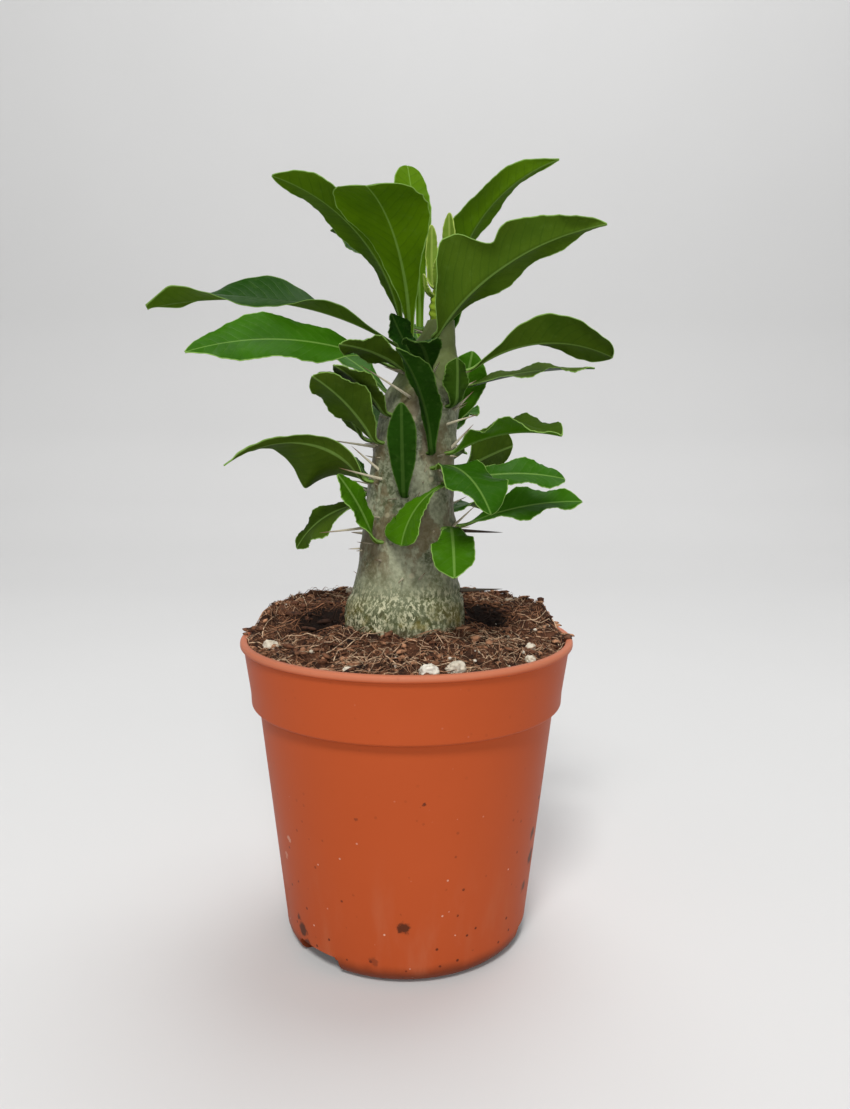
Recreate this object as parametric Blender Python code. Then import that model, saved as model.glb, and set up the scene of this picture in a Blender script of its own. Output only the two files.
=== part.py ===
"""A potted pachypodium: a swollen thorny stem with waved leaves, in the soil of a plastic nursery pot.

The pot stands at the origin on the table, which is at height 0, and +Z is up. The plant's front is
towards -Y. The tables and named sizes are in millimetres and degrees, and an azimuth of 0 points
along +X, 90 along +Y. Each piece of the plant and its pot is one object, in metres.
"""
import math
from typing import NamedTuple

import bmesh
import bpy
import numpy as np
from mathutils import Matrix, Vector

MM = 0.001

# Pot
POT_HEIGHT = 110.0
RIM_RADIUS = 60.0
LIP_HEIGHT = 2.4
LIP_REACH = 1.2
COLLAR_FOOT_HEIGHT = 90.5
COLLAR_FOOT_RADIUS = 56.4
BODY_TOP_HEIGHT = 85.2
BODY_TOP_RADIUS = 53.5
BODY_FOOT_RADIUS = 44.0
FOOT_ROUND = 6.0
WALL = 1.4
POT_SIDES = 48
DRAIN_AZIMUTHS = (226.0, 346.0, 106.0)
DRAIN_WIDTH = 20.0
DRAIN_HEIGHT = 6.4
DRAIN_DEPTH = 7.0

# Soil
SOIL_GAP = 0.3
SOIL_FLOOR = WALL + SOIL_GAP
SOIL_AT_RIM = 107.8
SOIL_MOUND = 6.0
SOIL_MOUND_REACH = 34.0
SOIL_BACK_HEAP = 9.5
SOIL_BACK_HEAP_START = -12.0
SOIL_BACK_HEAP_REACH = 28.0
SOIL_INSET_REACH = 4.5
LEFT_HOLLOW = (-31.0, 4.0, 2.6)
RIGHT_HOLLOW = (29.0, 8.0, 2.2)
HOLLOW_SPREAD = 7.7
SOIL_SIDES = 54
SOIL_RINGS = 8
HOLE_GAP = 0.4
GRAINS = (  # azimuth, distance from the axis, size of each big grain of perlite
    (196.0, 49.5, 3.0),
    (249.0, 51.0, 1.8),
    (278.0, 50.5, 3.0),
    (289.0, 48.5, 3.2),
    (322.0, 52.0, 2.0),
    (340.0, 46.0, 1.8),
    (20.0, 44.0, 2.4),
    (58.0, 50.0, 2.8),
    (83.0, 40.0, 2.2),
    (105.0, 49.0, 3.0),
    (137.0, 43.0, 2.2),
    (165.0, 51.0, 2.6),
)

# Stem
STEM_SIDES = 24
SOIL_LINE = 114.0
STEM_TOP = 222.0
STEM_STEP = 4.0
FOOT_HEIGHTS = (88.0, 97.0, 105.0, 110.0)
STEM_KNOTS = (  # height, centre x and radius, joined by a smooth curve
    (88.0, -0.5, 14.0),
    (97.0, -0.5, 18.5),
    (106.0, -0.6, 21.2),
    (114.0, -0.7, 21.8),
    (121.0, -0.7, 21.4),
    (127.0, -0.5, 19.6),
    (133.0, -0.2, 18.0),
    (142.0, 0.2, 17.0),
    (156.0, 0.8, 15.9),
    (170.0, 1.7, 14.9),
    (184.0, 3.2, 14.1),
    (196.0, 5.4, 13.0),
    (206.0, 8.0, 10.0),
    (214.0, 10.2, 6.6),
    (222.0, 11.8, 4.6),
)
SCAR_COUNT = 20
SCAR_LOWEST = 126.0
SCAR_HIGHEST = 204.0
SCAR_RISE = 0.7
SEAT_RISE = 1.0
BUMP_LIMIT = 1.4
BUMP_SPREAD = 3.0
GOLDEN_TURN = 137.5

# Thorns
THORN_RADIUS = 0.9
THORN_TIP_RADIUS = 0.3
THORN_ROOT = 2.5
THORN_WAIST = 0.45
THORN_WAIST_RADIUS = 0.63
THORN_SIDES = 5
THORNS = (  # height, azimuth on the stem, azimuth pointed to, rise and length
    (192.0, 200.0, 192.0, 10.0, 18.0),
    (195.0, 250.0, 224.0, 24.0, 24.0),
    (178.0, 196.0, 188.0, 8.0, 16.0),
    (170.5, 216.0, 192.0, 40.0, 12.0),
    (167.0, 226.0, 206.0, 14.0, 16.0),
    (191.0, 332.0, 340.0, 44.0, 9.0),
    (186.0, 318.0, 330.0, 16.0, 12.0),
    (178.0, 332.0, 340.0, 46.0, 11.0),
    (150.0, 338.0, 345.0, 44.0, 11.0),
    (150.0, 212.0, 200.0, -6.0, 18.0),
    (148.0, 8.0, 2.0, -4.0, 18.0),
    (126.5, 355.0, 0.0, 1.0, 15.0),
    (147.0, 180.0, 180.0, 5.0, 4.0),
    (139.0, 238.0, 232.0, 10.0, 3.0),
    (197.0, 78.0, 70.0, 30.0, 12.0),
    (178.0, 100.0, 104.0, 20.0, 14.0),
    (164.0, 132.0, 140.0, 20.0, 13.0),
    (155.0, 80.0, 76.0, 10.0, 12.0),
    (140.0, 60.0, 52.0, 5.0, 10.0),
    (136.0, 120.0, 126.0, 0.0, 9.0),
)

# Leaves
STALK_HALF_WIDTH = 1.1
STALK_SHARE = 0.07
EDGE_HALF_WIDTH = 0.35
STALK_THICKNESS = 1.5
STALK_FADE = 9.0
RIB_THICKNESS = 0.85
EDGE_THICKNESS = 0.64
ROOT_LIFT = 8.0
ELBOW = 6.0
SEAT_GAP = 0.35
LONG_LEAF = 44.0
BROAD_LEAF = 9.0

# Growing tip
TIP_RADIUS = 4.4
TIP_HEIGHT = 13.0
TIP_CENTRE_X = 11.0
TIP_RINGS = 6
TIP_SIDES = 12
YOUNG_LEAF_ROOT = 1.6


class Leaf(NamedTuple):
    """A leaf on the stem: where it sits, how its midrib runs, and the form of its blade."""
    name: str
    height: float           # of its seat on the stem
    seat: float             # azimuth of its seat
    azimuth: float          # azimuth that its midrib heads for
    rise: float             # lift of the midrib above level, after the elbow of its stalk
    drop: float             # lift at the tip
    length: float
    width: float
    roll: float = 0.0       # turn of the blade about its midrib, left side up
    cup: float = 14.0       # lift of both halves of the blade from the midrib
    wave: float = 1.2       # height of the waves at its edges
    waves: float = 2.6      # waves along each edge
    phase: tuple = None     # where the waves start, on the left and on the right edge
    point: float = 0.8      # low for a blunt tip, high for a drawn-out one
    bend: float = 1.0       # low for a midrib that bends near its stalk
    ripple: float = 0.04    # share of the width by which the outline goes in and out
    rising: float = 1.35    # low for a blade that is broad near its stalk, high for a slender foot
    lean: float = 0.0       # share by which the left half is the broader one
    twist: float = 0.0      # further turn of the blade towards its tip
    dents: tuple = ()       # side, share of the length, depth and reach of dents in the outline


LEAVES = (
    Leaf("leaf_crown_1", 214, 190, 192, 88, 14, 76, 18, 24, 14),
    Leaf("leaf_crown_2", 211, 226, 250, 96, 5, 66, 30, 0, 12, point=0.5, rising=2.2, lean=-0.02),
    Leaf("leaf_crown_3", 216, 128, 106, 92, 60, 70, 14, 0, 14, 1.0, point=0.6, rising=2.4),
    Leaf("leaf_crown_4", 215.5, 62, 8, 104, 20, 84, 18, -40, 36, bend=0.95, rising=1.0, point=1.1),
    Leaf("leaf_crown_5", 215, 262, 342, 57, 6, 70, 28, -44, 46, 1.5, 3.0, (0.5, 0.05), 1.15,
         ripple=0.12, rising=0.85, lean=-0.3,
         dents=((-1, 0.24, 0.12, 0.06), (-1, 0.5, 0.42, 0.06), (-1, 0.7, 0.45, 0.17))),
    Leaf("leaf_crown_6", 219, 176, 142, 68, 24, 58, 14, 0, 14, 1.6),
    Leaf("leaf_left_1", 212, 183, 186, 37, -14, 92, 22, -14, 30, 4.4, 1.5, (0.85, 0.41), bend=0.8),
    Leaf("leaf_left_2", 205, 205, 202, 24, -19, 74, 24, -42, 10, point=1.0, rising=1.3),
    Leaf("leaf_left_3", 166, 209, 196, 73, -38, 56, 24, 64, 10, 1.5, 1.2, (0.33, 0.83), 1.3, 0.75,
         rising=0.45, lean=-0.6, twist=-64),
    Leaf("leaf_left_4", 156, 165, 168, -4, -62, 32, 17, -40, lean=0.3, rising=0.9),
    Leaf("leaf_left_5", 166, 150, 160, 75, 60, 11, 6, 0, 10, 0.3),
    Leaf("leaf_right_1", 204.5, 350, 350, 40, -27, 54, 23, -24, 30, 2.6, 1.2, (0.73, 0.6), 0.5),
    Leaf("leaf_right_2", 199.5, 12, 12, 18, 0, 51, 16, 12, 12, rising=0.9, point=1.3),
    Leaf("leaf_right_3", 186, 40, 24, 74, 78, 30, 15, 60, 14, 0.8),
    Leaf("leaf_right_4", 192, 310, 310, 80, 95, 18, 12, 0, 14, 0.6),
    Leaf("leaf_right_5", 176, 318, 322, 30, -12, 45, 21, 6, 40, 1.8),
    Leaf("leaf_right_6", 168, 30, 38, 26, 14, 33, 25, -72, 12),
    Leaf("leaf_right_7", 165.5, 16, 16, 14, -12, 44, 17, 34, 12, 1.0, point=0.6),
    Leaf("leaf_right_8", 150, 350, 352, 26, 0, 45, 20, 26, 18, 1.6, point=1.0),
    Leaf("leaf_front_1", 171, 296, 296, 14, -52, 42, 21, 0, 12, 2.0),
    Leaf("leaf_front_2", 150, 314, 270, 8, -56, 34, 15, 10, 12, rising=1.8),
    Leaf("leaf_front_3", 161.5, 263, 266, 62, 78, 35, 10, 0, 14, 0.4),
    Leaf("leaf_front_4", 165.5, 314, 212, -6, -80, 33, 21, 0, 14, 0.4, point=0.5, rising=2.6),
    Leaf("leaf_front_5", 145.5, 237, 202, 74, 50, 29, 11, -55, 12, 0.8),
    Leaf("leaf_front_6", 176, 290, 240, 86, 26, 44, 11, -10, 12, 0.8, lean=0.4),
    Leaf("leaf_front_7", 204, 234, 226, 26, 0, 32, 14, 20),
    Leaf("leaf_front_8", 206.5, 247, 204, 56, 64, 20, 13, -60, 14, 0.8),
    Leaf("leaf_front_9", 204.5, 268, 258, 46, -10, 26, 13, 0, 14, 0.8),
    Leaf("leaf_front_10", 179.5, 222, 217, 58, 26, 35, 20, 18),
    Leaf("leaf_front_11", 180, 174, 182, 64, 50, 31, 17, 40, 14, 0.8),
    Leaf("leaf_front_12", 189, 228, 228, 48, 20, 30, 14, 0, 14, 0.8),
    Leaf("leaf_back_1", 208, 90, 92, 42, -10, 74, 23, 0, 14, 2.0),
    Leaf("leaf_back_2", 210, 75, 58, 84, 30, 52, 13, 0, 14, 1.6),
    Leaf("leaf_back_3", 192, 78, 80, 30, -14, 60, 20, 0, 14, 1.6),
    Leaf("leaf_back_4", 180, 122, 120, 42, 0, 54, 20, 0, 14, 1.6),
    Leaf("leaf_back_5", 170, 74, 75, 22, -15, 54, 18, 0, 14, 1.4),
    Leaf("leaf_back_6", 158, 112, 108, 16, -20, 48, 17, 0, 14, 1.4),
    Leaf("leaf_back_7", 151, 55, 60, 20, -15, 42, 16),
    Leaf("leaf_back_8", 143, 95, 95, 10, -32, 38, 15),
    Leaf("leaf_back_9", 197, 140, 138, 42, 4, 66, 21, 0, 14, 1.6),
    Leaf("leaf_back_10", 180, 62, 66, 34, 8, 40, 16, 0, 14, 1.4),
)

YOUNG_LEAVES = (  # small folded leaves of the growing tip
    Leaf("young_1", 233, 20, 60, 84, 96, 28, 6, 0, 30, 0.3),
    Leaf("young_2", 233, 150, 110, 86, 92, 24, 5, 0, 30, 0.3),
    Leaf("young_3", 231, 262, 262, 70, 92, 14, 5, 0, 30, 0.2),
    Leaf("young_4", 230, 200, 200, 60, 88, 10, 4, 0, 30, 0.2),
)

POT_COLOUR = (0.43, 0.085, 0.028, 1.0)
SOIL_COLOUR = (0.060, 0.026, 0.014, 1.0)
STEM_COLOUR = (0.19, 0.20, 0.125, 1.0)
LEAF_COLOUR = (0.045, 0.145, 0.014, 1.0)
TIP_COLOUR = (0.33, 0.42, 0.06, 1.0)


def clear_scene():
    for obj in list(bpy.data.objects):
        bpy.data.objects.remove(obj, do_unlink=True)


def plain_material(name, colour, roughness):
    material = bpy.data.materials.new(name)
    material.use_nodes = True
    shader = material.node_tree.nodes["Principled BSDF"]
    shader.inputs["Base Color"].default_value = colour
    shader.inputs["Roughness"].default_value = roughness
    shader.inputs["Metallic"].default_value = 0.0
    return material


def ease(x):
    """0 below 0, 1 above 1, and a smooth rise between."""
    x = np.clip(x, 0.0, 1.0)
    return x * x * (3.0 - 2.0 * x)


def add_object(name, points, faces, material=None, smooth_angle=35.0):
    """A closed mesh object from points in millimetres, with its faces turned outwards."""
    mesh = bpy.data.meshes.new(name)
    mesh.from_pydata([tuple(float(c) * MM for c in p) for p in points], [], faces)
    work = bmesh.new()
    work.from_mesh(mesh)
    bmesh.ops.recalc_face_normals(work, faces=work.faces)
    work.to_mesh(mesh)
    work.free()
    mesh.shade_smooth()
    mesh.set_sharp_from_angle(angle=math.radians(smooth_angle))
    if material:
        mesh.materials.append(material)
    obj = bpy.data.objects.new(name, mesh)
    bpy.context.collection.objects.link(obj)
    return obj


def skin(rings):
    """Points and faces of a closed solid through rings of equally many points, its ends flat."""
    count = len(rings[0])
    points = [p for ring in rings for p in ring]
    faces = [tuple(range(count))]
    for i in range(len(rings) - 1):
        for j in range(count):
            k = (j + 1) % count
            faces.append((i * count + j, (i + 1) * count + j, (i + 1) * count + k, i * count + k))
    last = (len(rings) - 1) * count
    faces.append(tuple(range(last + count - 1, last - 1, -1)))
    return points, faces


def ring(centre_x, radius, height, sides):
    """A level circle of points."""
    turns = [2.0 * math.pi * j / sides for j in range(sides)]
    return [(centre_x + radius * math.cos(a), radius * math.sin(a), height) for a in turns]


def unite(obj, extras):
    """Fuse the extra objects into obj and remove them."""
    group = bpy.data.collections.new(obj.name + "_extras")
    bpy.context.scene.collection.children.link(group)
    for extra in extras:
        bpy.context.collection.objects.unlink(extra)
        group.objects.link(extra)
    union = obj.modifiers.new("union", "BOOLEAN")
    union.operation = "UNION"
    union.operand_type = "COLLECTION"
    union.collection = group
    union.solver = "EXACT"
    fused = bpy.data.meshes.new_from_object(obj.evaluated_get(bpy.context.evaluated_depsgraph_get()))
    obj.modifiers.clear()
    obj.data = fused
    obj.data.name = obj.name
    for extra in extras:
        bpy.data.objects.remove(extra, do_unlink=True)
    bpy.data.collections.remove(group)


# Pot: one moulded shell, with drain notches where its wall meets its floor

def body_radius(height):
    """Outer radius of the pot's tapering wall below the collar."""
    return BODY_FOOT_RADIUS + (BODY_TOP_RADIUS - BODY_FOOT_RADIUS) * height / BODY_TOP_HEIGHT


def foot_arc(round_radius):
    """Rounded corner between the floor and the wall, from below outwards."""
    centre = body_radius(FOOT_ROUND) - FOOT_ROUND
    turns = [math.radians(a) for a in (-90.0, -60.0, -32.0, -6.0)]
    return [(centre + round_radius * math.cos(a), FOOT_ROUND + round_radius * math.sin(a)) for a in turns]


def pot_profile():
    """Radius and height pairs, from the middle of the underside round to the inner floor."""
    lip_foot = POT_HEIGHT - LIP_HEIGHT
    lip_inner = RIM_RADIUS - LIP_REACH - WALL
    outside = foot_arc(FOOT_ROUND)
    outside += [
        (BODY_TOP_RADIUS, BODY_TOP_HEIGHT),
        (BODY_TOP_RADIUS + 1.8, BODY_TOP_HEIGHT + 1.1),
        (COLLAR_FOOT_RADIUS - 0.3, COLLAR_FOOT_HEIGHT - 2.4),
        (COLLAR_FOOT_RADIUS, COLLAR_FOOT_HEIGHT),
        (RIM_RADIUS - LIP_REACH, lip_foot),
        (RIM_RADIUS - 0.2, lip_foot + 0.1),
        (RIM_RADIUS, lip_foot + 0.6),
        (RIM_RADIUS, POT_HEIGHT - 0.7),
        (RIM_RADIUS - 0.6, POT_HEIGHT),
        (lip_inner + 0.6, POT_HEIGHT),
    ]
    inside = [
        (lip_inner, POT_HEIGHT - 0.6),
        (COLLAR_FOOT_RADIUS - WALL, COLLAR_FOOT_HEIGHT + 0.7),
        (BODY_TOP_RADIUS - WALL, BODY_TOP_HEIGHT - 0.6),
    ]
    inside += list(reversed(foot_arc(FOOT_ROUND - WALL)))
    return outside + inside


def inner_radius(height):
    """Inner radius of the pot's wall at a height above its rounded foot."""
    lip_inner = RIM_RADIUS - LIP_REACH - WALL
    heights = [FOOT_ROUND, BODY_TOP_HEIGHT - 0.6, COLLAR_FOOT_HEIGHT + 0.7, POT_HEIGHT - 0.6]
    radii = [body_radius(FOOT_ROUND) - WALL, BODY_TOP_RADIUS - WALL, COLLAR_FOOT_RADIUS - WALL, lip_inner]
    return float(np.interp(height, heights, radii))


def build_pot(material):
    rings = [ring(0.0, r, z, POT_SIDES) for r, z in pot_profile()]
    pot = add_object("pot", *skin(rings), material)
    for i, azimuth in enumerate(DRAIN_AZIMUTHS):
        cutter_mesh = bpy.data.meshes.new("drain_cutter")
        work = bmesh.new()
        bmesh.ops.create_cube(work, size=1.0)
        work.to_mesh(cutter_mesh)
        work.free()
        cutter = bpy.data.objects.new(f"drain_cutter_{i}", cutter_mesh)
        reach = BODY_FOOT_RADIUS - DRAIN_DEPTH + DRAIN_WIDTH / 2
        size = Matrix.Diagonal(Vector((DRAIN_WIDTH, DRAIN_WIDTH, 2 * DRAIN_HEIGHT, 1.0 / MM)) * MM)
        turn = Matrix.Rotation(math.radians(azimuth), 4, "Z")
        cutter_mesh.transform(turn @ Matrix.Translation(Vector((reach * MM, 0.0, 0.0))) @ size)
        cutter.hide_render = True
        cutter.display_type = "WIRE"
        bpy.context.collection.objects.link(cutter)
        notch = pot.modifiers.new(f"drain_{i}", "BOOLEAN")
        notch.operation = "DIFFERENCE"
        notch.object = cutter
    return pot


# Stem: a swollen trunk with bumps where leaves sit or have fallen, and its thorns

def stem_core(height):
    """Centre x and plain radius of the stem at a height."""
    knots = np.array(STEM_KNOTS)
    i = int(np.clip(np.searchsorted(knots[:, 0], height) - 1, 0, len(knots) - 2))
    a, b, c = knots[max(i - 1, 0)], knots[i], knots[i + 1]
    d = knots[min(i + 2, len(knots) - 1)]
    t = float(np.clip((height - b[0]) / (c[0] - b[0]), 0.0, 1.0))
    curve = 2 * b + (c - a) * t + (2 * a - 5 * b + 4 * c - d) * t ** 2 + (3 * b - a - 3 * c + d) * t ** 3
    return 0.5 * curve[1], 0.5 * curve[2]


def stem_bumps():
    """Height, azimuth and rise of each leaf seat and of each scar, the scars on a spiral."""
    seats = [(leaf.height, leaf.seat, SEAT_RISE) for leaf in LEAVES]
    climb = (SCAR_HIGHEST - SCAR_LOWEST) / (SCAR_COUNT - 1)
    scars = [(SCAR_LOWEST + climb * i, GOLDEN_TURN * i, SCAR_RISE) for i in range(SCAR_COUNT)]
    return seats + scars


STEM_BUMPS = stem_bumps()


def stem_radius(height, azimuth):
    """Radius of the stem's surface, bumps included."""
    _, radius = stem_core(height)
    rise = 0.0
    for bump_height, bump_azimuth, bump_rise in STEM_BUMPS:
        away = (azimuth - bump_azimuth + 180.0) % 360.0 - 180.0
        distance = math.hypot(math.radians(away) * radius, height - bump_height)
        rise += bump_rise * math.exp(-(distance / BUMP_SPREAD) ** 2)
    above_soil = float(ease((height - SOIL_LINE - 2.0) / 8.0))
    return radius + above_soil * min(rise, BUMP_LIMIT)


def direction(azimuth, lift):
    """Unit vector that points to an azimuth, lifted above level."""
    a, e = math.radians(azimuth), math.radians(lift)
    return np.array([math.cos(e) * math.cos(a), math.cos(e) * math.sin(a), math.sin(e)])


def stem_point(height, azimuth, outward=0.0):
    """Point on the stem's surface, or outward of it."""
    centre_x, _ = stem_core(height)
    out = stem_radius(height, azimuth) + outward
    return np.array([centre_x, 0.0, height]) + out * direction(azimuth, 0.0)


def leaf_start(leaf):
    """Start of a leaf's midrib, where the whole end of its stalk is just clear of the stem."""
    below = stem_radius(leaf.height - STALK_THICKNESS / 2, leaf.seat)
    slant = below - stem_radius(leaf.height, leaf.seat)
    return stem_point(leaf.height, leaf.seat, SEAT_GAP + max(slant, 0.0))


def build_thorn(height, seat, azimuth, lift, length):
    along = direction(azimuth, lift)
    across = np.cross(along, (0.0, 0.0, 1.0))
    across /= np.linalg.norm(across)
    other = np.cross(along, across)
    base = stem_point(height, seat)
    turns = [2.0 * math.pi * j / THORN_SIDES for j in range(THORN_SIDES)]
    circle = [math.cos(a) * across + math.sin(a) * other for a in turns]
    stations = (
        (-THORN_ROOT, THORN_RADIUS),
        (length * THORN_WAIST, THORN_WAIST_RADIUS),
        (length, THORN_TIP_RADIUS),
    )
    rings = [[base + place * along + radius * c for c in circle] for place, radius in stations]
    return add_object("thorn", *skin(rings))


def build_stem(material):
    lowest = FOOT_HEIGHTS[-1] + STEM_STEP
    count = round((STEM_TOP - lowest) / STEM_STEP)
    rings = []
    for height in (*FOOT_HEIGHTS, *np.linspace(lowest, STEM_TOP, count + 1)):
        centre_x, _ = stem_core(height)
        radii = [stem_radius(height, 360.0 * j / STEM_SIDES) for j in range(STEM_SIDES)]
        circle = ring(0.0, 1.0, height, STEM_SIDES)
        rings.append([(centre_x + r * x, r * y, z) for r, (x, y, z) in zip(radii, circle)])
    stem = add_object("stem", *skin(rings), material, 60.0)
    unite(stem, [build_thorn(*thorn) for thorn in THORNS])
    return stem


# Soil: a root ball that fills the pot, with a heaped, lumpy top

def soil_height(x, y):
    """Height of the soil's top: a mound round the stem, a heap behind it, lumps and two hollows."""
    out = math.hypot(x, y)
    mound = SOIL_MOUND * (1.0 - ease((out - 20.0) / SOIL_MOUND_REACH))
    heap = SOIL_BACK_HEAP * ease((y - SOIL_BACK_HEAP_START) / SOIL_BACK_HEAP_REACH)
    rise = max(mound, heap) + 0.35 * min(mound, heap)
    rise += 0.8 * math.sin(x / 3.1 + 1.3) * math.sin(y / 2.7) + 0.6 * math.sin(x / 1.9 - y / 2.3 + 0.6)
    for hollow_x, hollow_y, depth in (LEFT_HOLLOW, RIGHT_HOLLOW):
        rise -= depth * math.exp(-(math.hypot(x - hollow_x, y - hollow_y) / HOLLOW_SPREAD) ** 2)
    inside_rim = ease((inner_radius(SOIL_AT_RIM) - out) / SOIL_INSET_REACH)
    return SOIL_AT_RIM + inside_rim * rise


def build_grain(azimuth, distance, size):
    x, y = distance * math.cos(math.radians(azimuth)), distance * math.sin(math.radians(azimuth))
    work = bmesh.new()
    bmesh.ops.create_icosphere(work, subdivisions=1, radius=size)
    middle = soil_height(x, y) + 0.2 * size
    points = [(x + v.co.x, y + v.co.y, middle + 0.75 * v.co.z) for v in work.verts]
    faces = [tuple(v.index for v in f.verts) for f in work.faces]
    work.free()
    return add_object("grain", points, faces)


def build_soil(material):
    rings = []
    for height in FOOT_HEIGHTS:
        centre_x, radius = stem_core(height)
        rings.append(ring(centre_x, radius + HOLE_GAP, height, SOIL_SIDES))
    rings[0] = [(x, y, z - HOLE_GAP) for x, y, z in rings[0]]
    hole_x, hole_radius = stem_core(SOIL_LINE)
    hole = ring(hole_x, hole_radius + HOLE_GAP, 0.0, SOIL_SIDES)
    edge = ring(0.0, inner_radius(SOIL_AT_RIM) - SOIL_GAP, 0.0, SOIL_SIDES)
    for i in range(SOIL_RINGS + 1):
        share = i / SOIL_RINGS
        flat = [(a[0] + (b[0] - a[0]) * share, a[1] + (b[1] - a[1]) * share) for a, b in zip(hole, edge)]
        rings.append([(x, y, soil_height(x, y)) for x, y in flat])
    for height in (COLLAR_FOOT_HEIGHT + 0.7, BODY_TOP_HEIGHT - 0.6, FOOT_ROUND):
        rings.append(ring(0.0, inner_radius(height) - SOIL_GAP, height, SOIL_SIDES))
    for radius, height in reversed(foot_arc(FOOT_ROUND - SOIL_FLOOR)[:-1]):
        rings.append(ring(0.0, radius, height, SOIL_SIDES))
    soil = add_object("soil", *skin(rings), material)
    unite(soil, [build_grain(*grain) for grain in GRAINS])
    return soil


# Leaves: a bent, folded and waved sheet each, with some thickness

def leaf_frames(leaf, start, steps=80):
    """Shares of the length, and the midrib's points, sideways and upper directions at them."""
    t = np.linspace(0.0, 1.0, steps + 1)
    past_elbow = ease(t * leaf.length / ELBOW)
    lift = leaf.rise + (leaf.drop - leaf.rise) * t ** leaf.bend
    lift = np.radians(ROOT_LIFT + (lift - ROOT_LIFT) * past_elbow)
    turn_by = (leaf.azimuth - leaf.seat + 180.0) % 360.0 - 180.0
    turn = np.radians(leaf.seat + turn_by * past_elbow)
    along = np.stack([np.cos(lift) * np.cos(turn), np.cos(lift) * np.sin(turn), np.sin(lift)], -1)
    side = np.stack([-np.sin(turn), np.cos(turn), np.zeros_like(turn)], -1)
    upper = np.cross(along, side)
    roll = np.radians(leaf.roll * ease(t / 0.4) + leaf.twist * ease((t - 0.3) / 0.5))
    cos_roll, sin_roll = np.cos(roll)[:, None], np.sin(roll)[:, None]
    side, upper = side * cos_roll + upper * sin_roll, upper * cos_roll - side * sin_roll
    moves = (along[1:] + along[:-1]) * (0.5 * leaf.length / steps)
    rib = start + np.vstack([np.zeros(3), np.cumsum(moves, 0)])
    return t, rib, side, upper


def wave_phases(leaf, order):
    return leaf.phase or ((order * 0.382) % 1.0, (order * 0.618 + 0.21) % 1.0)


def leaf_sheet(leaf, order, start, t, places):
    """Points of the leaf's middle sheet at shares t of its length and places -1 to 1 across it."""
    fine, *rows = leaf_frames(leaf, start)
    rib, side, upper = [np.stack([np.interp(t, fine, row[:, k]) for k in range(3)], -1) for row in rows]
    u = np.clip((t - STALK_SHARE) / (1.0 - STALK_SHARE), 0.0, 1.0)
    widest = leaf.rising / (leaf.rising + leaf.point)
    blade = (u / widest) ** leaf.rising * ((1.0 - u) / (1.0 - widest)) ** leaf.point
    calm = ease((t - 0.12) / 0.3) * (0.35 + 0.65 * ease((1.0 - t) / 0.12))
    left, right = wave_phases(leaf, order)
    grid = np.zeros((len(t), len(places), 3))
    for j, place in enumerate(places):
        out = abs(place)
        wave = 2.0 * np.pi * (leaf.waves * t + (left if place > 0 else right))
        broad = leaf.width / 2 * (1.0 + leaf.lean * np.sign(place)) - STALK_HALF_WIDTH
        half = broad * blade * (1.0 + leaf.ripple * np.sin(wave + 1.5))
        for dent_side, share, depth, reach in leaf.dents:
            if dent_side * place > 0:
                half = half * (1.0 - depth * np.exp(-((t - share) / reach) ** 2))
        half = half + STALK_HALF_WIDTH * np.sqrt(1.0 - t) + EDGE_HALF_WIDTH
        fold = np.radians(leaf.cup * (1.0 - 0.45 * out)) * ease(t / 0.25)
        lift = half * out * np.sin(fold) + leaf.wave * calm * out ** 2 * np.sin(wave)
        grid[:, j] = rib + (half * place * np.cos(fold))[:, None] * side + lift[:, None] * upper
    return grid


def leaf_solid(leaf, order, start):
    """Points and triangles of a leaf, split alike on its upper and lower face."""
    stations = 10 if leaf.length >= LONG_LEAF else 9
    places = (-1.0, -0.5, 0.0, 0.5, 1.0) if leaf.width >= BROAD_LEAF else (-1.0, 0.0, 1.0)
    t = 1.0 - (1.0 - np.arange(stations) / (stations - 1)) ** 1.2
    sheet = leaf_sheet(leaf, order, start, t, places)
    normals = np.cross(np.gradient(sheet, axis=0), np.gradient(sheet, axis=1))
    normals /= np.linalg.norm(normals, axis=2)[:, :, None]
    rib_share = (1.0 - np.abs(places))[None, :]
    stalk_share = (1.0 - ease(t * leaf.length / STALK_FADE))[:, None]
    thickness = EDGE_THICKNESS + (RIB_THICKNESS - EDGE_THICKNESS) * rib_share
    thickness = thickness + (STALK_THICKNESS - thickness) * stalk_share
    half = 0.5 * thickness[:, :, None] * normals
    points = np.concatenate([(sheet + half).reshape(-1, 3), (sheet - half).reshape(-1, 3)])
    across = len(places)
    below = stations * across
    faces = []
    for i in range(stations - 1):
        for j in range(across - 1):
            a = i * across + j
            b, c, d = a + 1, a + across + 1, a + across
            corners = ((a, b, c), (a, c, d)) if place_is_right(places, j) else ((a, b, d), (b, c, d))
            faces += corners
            faces += [tuple(below + k for k in reversed(triangle)) for triangle in corners]
    rim = list(range(across))
    rim += [i * across + across - 1 for i in range(1, stations)]
    rim += [below - 1 - j for j in range(1, across)]
    rim += [i * across for i in range(stations - 2, 0, -1)]
    for k, a in enumerate(rim):
        b = rim[(k + 1) % len(rim)]
        faces += [(a, below + a, below + b), (a, below + b, b)]
    return points, faces


def place_is_right(places, j):
    """Whether the strip from place j to j + 1 lies right of the midrib."""
    return places[j] < 0.0


def build_leaves(material):
    for order, leaf in enumerate(LEAVES):
        points, faces = leaf_solid(leaf, order, leaf_start(leaf))
        add_object(leaf.name, points, faces, material, 50.0)


# Growing tip: a bud on top of the stem, with its small unopened leaves

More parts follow.
